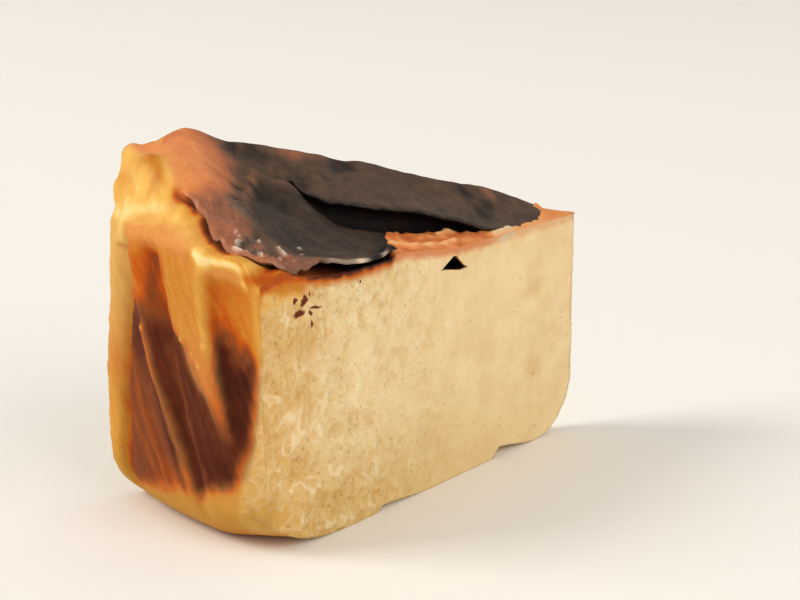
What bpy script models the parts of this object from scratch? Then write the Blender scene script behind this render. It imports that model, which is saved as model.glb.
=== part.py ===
"""One slice of a Basque cheesecake, standing on its base.

The tip of the slice points along +X and the browned rim faces -X. The cut face
towards -Y carries an air pocket, and the rim stands highest at the +Y side.
The origin is under the middle of the slice. Sizes are in metres.

The slice is a divided cube bent to shape. A point of the cube is (a, side, c):
a runs from the tip, 0, to the rim, 1; side from the near cut, -1, to the far
cut, 1; and c from the base, 0, to the top, 1.
"""
import math

import bmesh
import bpy
from mathutils import Matrix, Vector, noise

MM = 0.001

# The whole cake and the cut
CAKE_RADIUS = 100 * MM
HALF_ANGLE = math.radians(27.3) / 2
HALF_CHORD = CAKE_RADIUS * HALF_ANGLE
TIP_START = 0.8 * MM          # the point itself is crumbled off
TIP_HALF_WIDTH = 1.0 * MM
TIP_WORN_IN = 13 * MM         # the foot of the tip is worn round: how far inwards
TIP_WORN_UP = 12 * MM         # and how far up
CUT_WAVE = 0.35 * MM          # the knife left the cut faces slightly wavy
WAVE_SIZE = 11 * MM

# Height of the top along each cut, as (distance from the tip, height)
NEAR_CUT_TOP = ((0, 46.4), (40, 46.7), (62, 49.2), (76, 49.3), (95, 51.7), (106, 51.2))
FAR_CUT_TOP = ((0, 46.2), (28, 55.2), (57, 63.0), (76, 67.4), (85, 70.2), (93, 68.0), (106, 67.6))

# Between the cuts the top rises as a power of the way across: it lies hollow
# in the middle of the cake and bulges at the rim
LEAN = 1.3
LEAN_HOLLOW = 0.5
LEAN_RIM = -0.4
HOLLOW_PLACE = 60 * MM
HOLLOW_SPREAD = 16 * MM

# Rim
RIM_START = 78 * MM           # the top's flat part ends here
RIM_FULL = 92 * MM
CREST = 2.0 * MM              # hump of the rim beside the far cut
CREST_ACROSS = 11 * MM
CREST_SPREAD = 9 * MM
RIM_DENT = 0.9 * MM
PLEAT_TOP = 54.5 * MM         # the paper's pleats end here and the puffed shoulder begins
PLEAT_TOP_DROP = 4.6 * MM     # how far the pleats end lower at the near cut
SHOULDER_REACH = 4.5 * MM     # how far in from the rim the shoulder is rounded
SHOULDER_SPREAD = 6 * MM      # and how much further in the middle of the rim
SHOULDER_SETBACK = 1.6 * MM   # the shoulder stands back from the pleats
SHOULDER_LUMP = 1.5 * MM
LUMP_SIZE = 8 * MM
BASE_ROUND_UP = 9 * MM        # rounding of the baked bottom edge, upwards
BASE_ROUND_IN = 9 * MM        # inwards
BASE_ROUND_NEAR = 15 * MM     # and how much further in at the near cut
BELLY = 1.5 * MM              # bulge of the wall low down on the far side
BELLY_HEIGHT = 20 * MM
WALL_START = 84 * MM          # the wall's relief fades out inside this distance
WORN_CORNER = Vector((2.0, 2.0, 0)) * MM   # the foot of the near corner is rubbed off
WORN_HEIGHT = 8 * MM
WORN_SPREAD = 14 * MM

# Chips out of the foot of the near cut: the sharp end towards the rim, the
# other end, and how far the foot is raised at the sharp end, in millimetres
FOOT_CHIPS = ((29, 12, 2.2), (67.5, 50, 1.0))
CHIP_END = 2.0                # length of the sharp end
CHIP_DEEP = 5 * MM            # how far a chip reaches in under the slice
CHIP_HIGH = 8 * MM            # height where the cut face is whole again

# Pleats of the wall, from the near cut to the far cut: place along the rim at
# the top, drift towards the near cut by the base, bend of that drift, relief
# and half-width
PLEATS = (
    (6.0, 2.0, 2.0, -1.5, 4.5),
    (14.0, 20.0, 2.5, 1.6, 2.6),
    (21.5, 16.0, 1.4, 1.1, 5.5),
    (30.0, 15.5, 1.0, -1.8, 2.3),
    (34.5, 20.0, 1.3, 1.3, 3.2),
    (39.6, -1.7, 1.0, -1.8, 2.1),
    (44.5, -1.0, 1.0, 0.8, 3.0),
)
PLEAT_LIP = 0.5 * MM          # the pleats stand out a little at their tops
LIP_START = 38 * MM

# Burnt skin: a slab of it has lifted behind a crevice that crosses the top.
# The slab's lip as (distance from the tip, distance from the slice's middle line)
SLAB_LIP = ((16, -3.4), (27, -5.0), (35, -3.7), (44, -1.9), (54, -0.9), (60, 1.2), (67, 4.6), (80, 6))
SLAB_TIP = 20 * MM            # where the crevice begins at the near cut
SLAB_FULL = 50 * MM           # where it is fully open
SLAB_HEEL = 64 * MM           # where it begins to close again
SLAB_CLOSED = 76 * MM
SLAB_LIFT = 3.2 * MM
SLAB_OVERHANG = 2.4 * MM      # how far the crevice goes in under the slab
CREVICE_DEPTH = 1.2 * MM
CREVICE_MOUTH = 3 * MM
FLAP_PLACE = 60 * MM          # a flap of skin has curled up beside the near cut
FLAP_RISE = 1.5 * MM
FLAP_SPREAD = 3 * MM
SKIN_END = 9.5 * MM           # the tip is bare of skin
SKIN_THICKNESS = 0.8 * MM

# Air pocket in the near cut
POCKET_PLACE = 42.7 * MM      # from the tip
POCKET_HEIGHT = 43.3 * MM
POCKET_WIDTH = 8.2 * MM
POCKET_RISE = 2.9 * MM
POCKET_DEPTH = 3.5 * MM

# Divisions of the cube
CELLS_ALONG = 42
CELLS_ACROSS = 24
CELLS_UP = 24
SHELF_ROWS = 0.82             # share of the rows that lie below the shoulder
ROW_CROWDING = 0.85           # below 1, the rows stand closer towards the rim
FOOT_COLUMN = -1 + 2 * 11 / CELLS_ACROSS   # column that follows the crevice's foot
LIP_COLUMN = -1 + 2 * 12 / CELLS_ACROSS    # and the one that follows the slab's lip


def smooth(low, high, value):
    t = min(max((value - low) / (high - low), 0), 1)
    return t * t * (3 - 2 * t)


def bump(distance, half_width):
    return math.exp(-(distance / half_width) ** 2)


def lump(point, size, seed):
    return noise.noise(Vector(point) / size + Vector((seed, 0, 0)))


def outline(points, along):
    """Value at a distance from the tip, eased between an outline's points."""
    along /= MM
    for (r0, z0), (r1, z1) in zip(points, points[1:]):
        if along <= r1:
            break
    t = (along - r0) / (r1 - r0)
    return (z0 + (z1 - z0) * (t + smooth(0, 1, t)) / 2) * MM


def crevice_open(along):
    """How far the crevice is open, from 0 to 1."""
    return smooth(SLAB_TIP, SLAB_FULL, along) * (1 - smooth(SLAB_HEEL, SLAB_CLOSED, along))


def follow_crevice(along, side):
    """Moves the columns of the top so that two of them run along the crevice."""
    share = smooth(SLAB_TIP, SLAB_TIP + 8 * MM, along) * (1 - smooth(SLAB_HEEL, SLAB_CLOSED, along))
    half_width = max(along, SKIN_END) * HALF_ANGLE
    lip_side = outline(SLAB_LIP, along) / half_width
    foot = FOOT_COLUMN + (lip_side + SLAB_OVERHANG / half_width - FOOT_COLUMN) * share
    lip = LIP_COLUMN + (lip_side - LIP_COLUMN) * share
    if side <= FOOT_COLUMN:
        return -1 + (foot + 1) * (side + 1) / (FOOT_COLUMN + 1)
    if side >= LIP_COLUMN:
        return 1 - (1 - lip) * (1 - side) / (1 - LIP_COLUMN)
    return foot + (lip - foot) * (side - FOOT_COLUMN) / (LIP_COLUMN - FOOT_COLUMN)


def skin_relief(along, side, column):
    """The lifted slab, the groove in front of it, the curled flap and the skin's end."""
    behind_lip = smooth(FOOT_COLUMN, LIP_COLUMN, column)
    in_front = outline(SLAB_LIP, along) - side * along * HALF_ANGLE
    groove = CREVICE_DEPTH * bump(in_front, CREVICE_MOUTH) * (1 - behind_lip)
    from_cut = (1 + side) * along * HALF_ANGLE
    flap = FLAP_RISE * bump(along - FLAP_PLACE, FLAP_SPREAD) * bump(from_cut, FLAP_SPREAD)
    bare_tip = SKIN_THICKNESS * (1 - smooth(SKIN_END - 2 * MM, SKIN_END, along))
    return crevice_open(along) * (SLAB_LIFT * behind_lip - groove) + flap - bare_tip


def top_height(along, side, column):
    """Height of the top: low at the near cut, rising to the far cut."""
    near = outline(NEAR_CUT_TOP, along)
    far = outline(FAR_CUT_TOP, along) - SLAB_LIFT * crevice_open(along)
    rim = smooth(RIM_START, RIM_FULL, along)
    lean = LEAN + LEAN_HOLLOW * bump(along - HOLLOW_PLACE, HOLLOW_SPREAD) + LEAN_RIM * rim
    slope = near + (far - near) * ((side + 1) / 2) ** lean
    across = side * HALF_CHORD
    crest = CREST * bump(across - CREST_ACROSS, CREST_SPREAD)
    dents = RIM_DENT * lump((along, across, 0), LUMP_SIZE, 3)
    return slope + rim * (crest + dents) + skin_relief(along, side, column)


def pleat_top(side):
    return PLEAT_TOP - PLEAT_TOP_DROP * smooth(-0.82, -1, side)


def pleat_relief(side, height):
    """How far the wall stands out or in, from the creases of the baking paper."""
    place = (side + 1) * HALF_CHORD / MM
    fall = min(max(1 - height / PLEAT_TOP, 0), 1)
    relief = 0
    for at_top, drift, bend, depth, half_width in PLEATS:
        relief += depth * MM * bump(place - at_top + drift * fall ** bend, half_width)
    lip = smooth(LIP_START, PLEAT_TOP, height)
    return relief * (3 + lip) / 4 * smooth(0, BASE_ROUND_UP, height) + PLEAT_LIP * lip


def round_corner(out, up):
    """Turns a unit square's outer corner into a quarter of a disc."""
    if min(out, up) <= 0:
        return out, up
    shrink = max(out, up) / math.hypot(out, up)
    return out * shrink, up * shrink


def round_edges(along, height, side, shelf, top):
    """Rounds the slice's profile at the shoulder and at the baked bottom edge."""
    reach = SHOULDER_REACH + SHOULDER_SPREAD * bump(side + 0.15, 0.45)
    rise = top - shelf
    out, up = round_corner((along - CAKE_RADIUS + reach) / reach, (height - shelf) / rise)
    along = CAKE_RADIUS - reach + reach * out
    height = shelf + rise * up

    reach = BASE_ROUND_IN + BASE_ROUND_NEAR * smooth(-0.3, -1, side)
    out, down = round_corner((along - CAKE_RADIUS + reach) / reach, 1 - height / BASE_ROUND_UP)
    return CAKE_RADIUS - reach + reach * out, BASE_ROUND_UP * (1 - down)


def wall_relief(along, side, height):
    """How far a point near the wall moves outwards: pleats, shoulder and belly."""
    over_pleats = height - pleat_top(side)
    above = smooth(0, 3 * MM, over_pleats)
    below = 1 - smooth(-1 * MM, 2.5 * MM, over_pleats)
    shoulder = SHOULDER_LUMP * lump((along, side * HALF_CHORD, height), LUMP_SIZE, 7) - SHOULDER_SETBACK
    belly = BELLY * bump(height - BELLY_HEIGHT, BELLY_HEIGHT) * smooth(-0.3, 1, side)
    fade = smooth(WALL_START, CAKE_RADIUS, along)
    return fade * (above * shoulder + below * pleat_relief(side, height) + belly)


def tip_wear(along, height):
    """How far the rounded foot of the tip stands back."""
    down = min(max(1 - height / TIP_WORN_UP, 0), 1)
    return TIP_WORN_IN * (1 - math.sqrt(1 - down * down)) * (1 - smooth(0, 3 * TIP_WORN_IN, along))


def chip_rise(along, side, height):
    """How far the foot of the near cut is raised where crumbs are missing."""
    place = along / MM
    rise = 0
    for rim_end, tip_end, high in FOOT_CHIPS:
        rise += high * MM * smooth(rim_end, rim_end - CHIP_END, place) * smooth(tip_end, rim_end, place)
    inward = (side + 1) * along * HALF_ANGLE
    return rise * smooth(CHIP_DEEP, 0, inward) * smooth(CHIP_HIGH, 0, height)


def slice_point(a, column, c):
    """The place on the slice of a point of the cube."""
    along = TIP_START + (CAKE_RADIUS - TIP_START) * a
    side = follow_crevice(along, column) if c == 1 else column
    top = top_height(along, side, column)
    rim = smooth(HOLLOW_PLACE, CAKE_RADIUS, along)
    shelf = SHELF_ROWS * top + rim * (pleat_top(side) - SHELF_ROWS * top)
    if c <= SHELF_ROWS:
        height = shelf * c / SHELF_ROWS
    else:
        height = shelf + (top - shelf) * (c - SHELF_ROWS) / (1 - SHELF_ROWS)

    along, height = round_edges(along, height, side, shelf, top)
    along += wall_relief(along, side, height) + tip_wear(along, height)
    height += chip_rise(along, side, height)

    angle = side * HALF_ANGLE
    half_width = math.hypot(along * math.sin(HALF_ANGLE), TIP_HALF_WIDTH)
    place = Vector((-along * math.cos(angle), half_width * math.sin(angle) / math.sin(HALF_ANGLE), height))
    wave = CUT_WAVE * smooth(0.7, 1, abs(side)) * smooth(0, SLAB_TIP, along)
    place.y += wave * lump((place.x, height, side), WAVE_SIZE, 11)
    worn = bump(height - WORN_HEIGHT, WORN_SPREAD) * smooth(-0.75, -1, side)
    return place + WORN_CORNER * worn * smooth(WALL_START, CAKE_RADIUS, along)


def divided_cube():
    """A cube with its three directions divided as the slice needs."""
    grid = bmesh.new()
    bmesh.ops.create_cube(grid, size=2)
    for axis, cells in enumerate((CELLS_ALONG, CELLS_ACROSS, CELLS_UP)):
        edges = []
        for edge in grid.edges:
            if abs(edge.verts[0].co[axis] - edge.verts[1].co[axis]) > 1:
                edges.append(edge)
        bmesh.ops.subdivide_edges(grid, edges=edges, cuts=cells - 1, use_grid_fill=True)
    return grid


def shape_slice():
    """The slice, and the point under the middle of its outline."""
    grid = divided_cube()
    for vert in grid.verts:
        a = ((1 - vert.co.x) / 2) ** ROW_CROWDING
        vert.co = slice_point(a, vert.co.y, (vert.co.z + 1) / 2)
    ends = [(min(v.co[i] for v in grid.verts), max(v.co[i] for v in grid.verts)) for i in range(2)]
    middle = Vector((sum(ends[0]) / 2, sum(ends[1]) / 2, 0))
    bmesh.ops.translate(grid, verts=grid.verts, vec=-middle)
    return grid, middle


def pocket_cutter(middle):
    """A three-sided cone, its edge upwards, that narrows into the near cut."""
    cone = bmesh.new()
    bmesh.ops.create_cone(cone, segments=3, radius1=0.6, radius2=1, depth=2, cap_ends=True)
    size = Matrix.Diagonal((POCKET_WIDTH / math.sqrt(3), POCKET_RISE / 1.5, POCKET_DEPTH))
    upright = Matrix.Rotation(math.radians(90), 3, "X")
    turn = Matrix.Rotation(HALF_ANGLE, 3, "Z")
    bmesh.ops.transform(cone, verts=cone.verts, matrix=(turn @ upright @ size).to_4x4())
    x = -POCKET_PLACE * math.cos(HALF_ANGLE)
    y = -POCKET_PLACE * math.sin(HALF_ANGLE)
    bmesh.ops.translate(cone, verts=cone.verts, vec=Vector((x, y, POCKET_HEIGHT)) - middle)
    return cone


def make_object(name, grid, collection):
    mesh = bpy.data.meshes.new(name)
    grid.to_mesh(mesh)
    grid.free()
    thing = bpy.data.objects.new(name, mesh)
    collection.objects.link(thing)
    return thing


def make_collection(name):
    collection = bpy.data.collections.new(name)
    bpy.context.scene.collection.children.link(collection)
    return collection


def baked_cheese():
    material = bpy.data.materials.new("baked_cheese")
    material.use_nodes = True
    shader = material.node_tree.nodes["Principled BSDF"]
    shader.inputs["Base Color"].default_value = (0.75, 0.50, 0.22, 1)
    shader.inputs["Roughness"].default_value = 0.6
    shader.inputs["Metallic"].default_value = 0
    return material


def build():
    for thing in list(bpy.data.objects):
        bpy.data.objects.remove(thing, do_unlink=True)
    cake = make_collection("basque_cheesecake")
    cutters = make_collection("cutters")

    grid, middle = shape_slice()
    cheesecake = make_object("cheesecake_slice", grid, cake)
    cheesecake.data.materials.append(baked_cheese())

    pocket = make_object("air_pocket_cutter", pocket_cutter(middle), cutters)
    pocket.hide_render = True
    pocket.display_type = "WIRE"
    cut = cheesecake.modifiers.new("air_pocket", "BOOLEAN")
    cut.operation = "DIFFERENCE"
    cut.solver = "EXACT"
    cut.object = pocket


build()
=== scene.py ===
import math

import bmesh
import bpy
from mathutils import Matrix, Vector, noise


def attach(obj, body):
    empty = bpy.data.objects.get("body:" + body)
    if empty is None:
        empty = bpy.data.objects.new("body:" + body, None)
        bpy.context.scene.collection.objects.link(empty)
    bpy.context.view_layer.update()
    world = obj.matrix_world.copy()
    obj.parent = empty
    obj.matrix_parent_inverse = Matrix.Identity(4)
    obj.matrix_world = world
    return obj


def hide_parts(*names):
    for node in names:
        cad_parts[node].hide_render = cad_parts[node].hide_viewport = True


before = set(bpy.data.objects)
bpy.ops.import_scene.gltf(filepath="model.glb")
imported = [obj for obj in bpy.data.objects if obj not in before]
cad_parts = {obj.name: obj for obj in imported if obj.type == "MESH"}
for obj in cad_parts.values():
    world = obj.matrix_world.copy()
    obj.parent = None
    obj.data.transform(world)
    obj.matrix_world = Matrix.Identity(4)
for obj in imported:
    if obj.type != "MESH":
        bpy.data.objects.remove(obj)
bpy.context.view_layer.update()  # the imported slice, kept as the fixed frame
print("frame loaded with", sorted(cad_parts))

# Shapes are worked out in millimetres from the wedge's point: along runs from it
# to the rim, side from the near cut, -1, to the far cut, 1, and height is upwards
mm = 0.001
cake = {
    "point": Vector((51.222, -0.241, 0)),  # where the wedge's point is in the frame
    "radius": 100.0,
    "halfAngle": math.radians(13.65),
    "tipStart": 0.8,
    "tipHalfWidth": 1.0,
    "tipWorn": (13.0, 12.0),       # the foot of the tip is rounded: inwards and upwards
    "footChips": ((29, 12, 2.2), (67.5, 50, 1.0)),   # sharp end, other end, rise
    "chipReach": (2.0, 5.0, 8.0),  # along, inwards and upwards
    "cutWave": 0.35,
    "waveSize": 11.0,
    "nearCutTop": ((0, 46.4), (40, 46.7), (62, 49.2), (76, 49.3), (95, 51.7), (106, 51.2)),
    "farCutTop": ((0, 46.2), (28, 55.2), (57, 63.0), (76, 67.4), (85, 70.2), (93, 68.0), (106, 67.6)),
    "lean": (1.3, 0.5, -0.4),      # power of the rise between the cuts: plain, hollow, rim
    "hollow": (60.0, 16.0),
    "rim": (78.0, 92.0),
    "crest": (2.0, 11.0, 9.0),     # height, place across and spread of the rim's hump
    "lumpSize": 8.0,
    "lumpHeight": 0.9,
}
halfChord = cake["radius"] * cake["halfAngle"]


def smooth(low, high, value):
    t = min(max((value - low) / (high - low), 0), 1)
    return t * t * (3 - 2 * t)


def bump(distance, halfWidth):
    return math.exp(-(distance / halfWidth) ** 2)


def blend(value, other, share):
    return value + (other - value) * share


def lump(point, size, seed):
    return noise.noise(Vector(point) / size + Vector((seed, 0, 0)))


def lumps(point, layers):  # layers of (height, size, seed)
    return sum(height * lump(point, size, seed) for height, size, seed in layers)


def veins(point, size, seed):  # thin raised lines between lumps, from 0 to 1
    return max(1 - abs(lump(point, size, seed)) * 2.2, 0) ** 2


def between(points, place):  # value at a place on a line of (place, value) points
    for (x0, y0), (x1, y1) in zip(points, points[1:]):
        if place <= x1:
            break
    t = min(max((place - x0) / (x1 - x0), 0), 1)
    return y0 + (y1 - y0) * (t + smooth(0, 1, t)) / 2


def flatPlace(along, side):
    angle = side * cake["halfAngle"]
    return -along * math.cos(angle), along * math.sin(angle)


def nearLine(place, line):  # distance to a line of flat places
    best = 1e9
    for (x0, y0), (x1, y1) in zip(line, line[1:]):
        dx, dy = x1 - x0, y1 - y0
        t = ((place[0] - x0) * dx + (place[1] - y0) * dy) / (dx * dx + dy * dy)
        t = min(max(t, 0), 1)
        best = min(best, math.hypot(place[0] - x0 - t * dx, place[1] - y0 - t * dy))
    return best


def onLine(place, line, halfWidth):  # 1 on a line, falling to 0 beside it
    away = nearLine(place, line)
    return bump(away, halfWidth) if away < 3 * halfWidth else 0


# The burnt skin: a front sheet, and a slab that has lifted over it
skin = {
    "thick": 0.9,
    "lift": 3.4,                    # how high the slab stands over the crevice
    "opens": (20.0, 50.0),
    "closes": (60.0, 69.0),
    "slabLip": (
        (8.6, 0.0), (9.5, -0.7), (10.5, -1.4), (13, -2.5), (16, -3.5), (19.5, -4.3), (26.3, -5.3),
        (31.4, -4.7), (35, -3.6), (41, -2.2), (48, -1.5), (54, -0.8), (58.6, 0.6), (62.3, 1.9),
        (64.3, 5.0), (66.5, 9.8), (71.6, 9.3), (76.3, 7.0), (79.4, 4.8), (88, 3),
    ),
    "slabEnds": (8.6, 84.0),
    "rimEdge": (
        (-1.0, 92.6), (-0.95, 94.4), (-0.88, 96.2), (-0.79, 97.8), (-0.64, 98.6), (-0.45, 97.8),
        (-0.31, 96.4), (-0.15, 95.0), (-0.05, 94.4), (0.08, 94.4), (0.2, 94.6), (0.35, 94.2), (0.5, 93.8),
        (1.0, 93.8),
    ),
    "edgeRough": ((0.6, 3.2), (0.2, 1.2)),   # height and size of a torn edge's teeth
    "melts": (0.04, 0.2),           # across, where the torn rim edge melts into the dome
    "crease": (0.16, 0.25),         # where the crease along the rim edge ends, across
    "domeEdge": (                   # the shoulder is salmon up to here
        (0.0, 94.2), (0.2, 94.4), (0.4, 93.4), (0.6, 92.2), (0.75, 94.0), (0.9, 95.2), (1.0, 95.2),
    ),
    "tornLine": (
        (-1.0, 62.0), (-0.8, 60.0), (-0.5, 56.0), (-0.2, 52.5), (0.1, 49.5), (0.3, 48.0),
    ),
    "darkLine": (                   # where the skin turns from charred to pink
        (-1.0, 84.5), (-0.8, 86.0), (-0.62, 87.5), (-0.4, 88.0), (-0.2, 87.5), (0, 86.0), (0.3, 81.6),
        (0.45, 80.0), (0.77, 78.8), (1, 79.4),
    ),
    "ridge": (
        (83.5, -0.02), (82.0, 0.09), (79.5, 0.26), (76.3, 0.48), (74.0, 0.58), (72.1, 0.52), (70.0, 0.48),
        (67.7, 0.5), (65.5, 0.48),
    ),
    "ridgeShape": (0.7, 1.2),       # height and half-width
    "uneven": ((0.35, 7, 21), (0.1, 2.2, 22)),   # height, size and seed
    "crumpled": ((14, 5), (-0.1, 0.2)),   # where the fringe crumples: from the rim edge, across
    "broadFolds": (1.3, 4.2),       # height and size
    "sharpFolds": (0.8, 2.0),
    "foldBend": (1.5, 5),
    "foldMiddle": 0.35,             # what of a fold's height is below the skin's level
    "foldFloor": -0.7,              # the deepest that a fold may be
    "dents": (                      # along, side, radius, depth
        (75.5, 0.36, 2.6, 1.2), (72.6, 0.16, 2.4, 0.8), (80.3, 0.38, 1.5, 0.9), (84.0, 0.08, 1.3, 0.7),
        (64.8, 0.52, 2.0, 0.9), (52.6, 0.92, 2.4, 0.6), (55.2, 0.84, 1.8, 0.5), (76.0, 0.94, 2.2, 0.5),
        (72.0, 0.92, 2.6, 0.7), (26.6, 0.72, 1.8, 0.5), (25.4, -0.04, 2.4, 0.7), (22.6, 0.3, 1.6, 0.4),
        (64.4, -0.8, 1.3, 1.1),
    ),
    "tanSpotsAndHighlights": (                   # tan spots, some of them painted highlights on bulges and the slab's crest: along, side, radius
        (20.8, 0.81, 1.5), (63.5, 0.95, 2.0), (78.5, 0.3, 0.8), (77.5, 0.38, 0.7), (75.6, 0.49, 0.7),
    ),
    "glints": (                     # painted highlights on the crumpled fringe's raised crests: line, half-width, relief
        (((95.9, -0.6), (94.4, -0.58)), 0.35, 0.4), (((97.9, -0.68), (97.5, -0.72)), 0.5, 0.4),
        (((95.2, -0.67), (96.4, -0.74)), 0.45, 0.5), (((93.0, -0.72), (93.9, -0.79)), 0.35, 0.3),
        (((91.0, -0.61), (89.6, -0.56)), 0.35, 0.5), (((90.6, -0.84), (91.4, -0.88)), 0.3, 0.3),
        (((86.6, -0.65), (87.9, -0.74), (88.6, -0.82)), 0.4, 0.5),
        (((79.6, -0.54), (78.8, -0.52)), 0.3, 0.3), (((83.6, -0.78), (83.0, -0.76)), 0.35, 0.3),
    ),
    "shadedHollows": (                    # painted shade in the hollows between them and under the flap's edge: line, half-width, browning, relief
        (((95.4, -0.63), (93.4, -0.61), (90.5, -0.55), (88.2, -0.47)), 0.8, 0.88, -0.6),
        (((87.9, -0.55), (89.1, -0.66), (90.6, -0.76)), 1.6, 0.8, -0.5),
        (((93.5, -0.7), (92.6, -0.74)), 0.8, 0.84, -0.4),
        (((59.6, -0.66), (62.4, -0.8), (64.8, -0.93)), 0.9, 1.0, -0.5),
        (((61.0, -1.0), (62.6, -0.98)), 0.8, 0.95, 0.0),
    ),
}


def lipAcross(along):
    return between(skin["slabLip"], along)


def behindLip(along, side):
    return side * along * cake["halfAngle"] - lipAcross(along)


def fromNearCut(along, side):
    return (side + 1) * along * cake["halfAngle"]


def slabOpen(along):
    return smooth(*skin["opens"], along) * (1 - smooth(*skin["closes"], along))


def level(along, side):  # height of the baked top, without the slab's lift
    near = between(cake["nearCutTop"], along)
    far = between(cake["farCutTop"], along) - skin["lift"] * slabOpen(along)
    rim = smooth(*cake["rim"], along)
    plain, hollow, atRim = cake["lean"]
    lean = plain + hollow * bump(along - cake["hollow"][0], cake["hollow"][1]) + atRim * rim
    slope = near + (far - near) * ((side + 1) / 2) ** lean
    across = side * halfChord
    high, place, spread = cake["crest"]
    dents = cake["lumpHeight"] * lump((along, across, 0), cake["lumpSize"], 3)
    return slope + rim * (high * bump(across - place, spread) + dents)


def skinEdge(line, side, seed):  # a torn edge: its line, roughened
    teeth = [(height, size, seed) for height, size in skin["edgeRough"]]
    return between(line, side) + lumps((side * halfChord, seed, 0), teeth)


def crispRim(side):  # the skin's rim edge is torn up to the middle and melts in behind it
    return 1 - smooth(*skin["melts"], side)


def creaseShare(side):
    return 1 - smooth(*skin["crease"], side)


def rimEdge(side):
    return blend(between(skin["rimEdge"], side), skinEdge(skin["rimEdge"], side, 5), crispRim(side))


def tornLine(side):
    return skinEdge(skin["tornLine"], side, 9)


ridgeLine = [flatPlace(*spot) for spot in skin["ridge"]]
dentPlaces = [(flatPlace(along, side), radius, depth) for along, side, radius, depth in skin["dents"]]
tanAndHighlightPlaces = [(flatPlace(along, side), radius) for along, side, radius in skin["tanSpotsAndHighlights"]]
glintLines = [([flatPlace(*spot) for spot in line], *values) for line, *values in skin["glints"]]
shadedHollowLines = [([flatPlace(*spot) for spot in line], *values) for line, *values in skin["shadedHollows"]]


def crumpled(along, side):  # share of the glossy, crumpled fringe
    fromRim, across = skin["crumpled"]
    return smooth(*fromRim, rimEdge(side) - along) * (1 - smooth(*across, side))


def dentDepth(place):
    return sum(depth * bump(math.dist(place, spot), radius) for spot, radius, depth in dentPlaces)


def skinRelief(along, side, onSlab):
    place = flatPlace(along, side)
    flat = (*place, 0)
    relief = lumps(flat, skin["uneven"]) - dentDepth(place)
    if onSlab:
        return relief
    rise, halfWidth = skin["ridgeShape"]
    relief += rise * onLine(place, ridgeLine, halfWidth)
    bend, bendSize = skin["foldBend"]
    x, y = (place[axis] + bend * lump(flat, bendSize, 35 + axis) for axis in range(2))
    folds = 0
    for spot, kind, seed in (
        ((x * 0.9 + y * 0.3, y * 0.6, 0), "broadFolds", 31), ((x * 0.6, y, 0), "sharpFolds", 33),
    ):
        high, size = skin[kind]
        folds += high * (veins(spot, size, seed) - skin["foldMiddle"])
    folds *= crumpled(along, side)
    folds += sum(rise * onLine(place, line, halfWidth) for line, halfWidth, rise in glintLines)
    folds += sum(rise * onLine(place, line, halfWidth) for line, halfWidth, tone, rise in shadedHollowLines)
    return relief + max(folds, skin["foldFloor"])


def toWorld(along, side, height):
    angle = side * cake["halfAngle"]
    wide = math.hypot(along * math.sin(cake["halfAngle"]), cake["tipHalfWidth"])
    y = wide * math.sin(angle) / math.sin(cake["halfAngle"])
    return Vector((-along * math.cos(angle), y, height))


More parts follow.
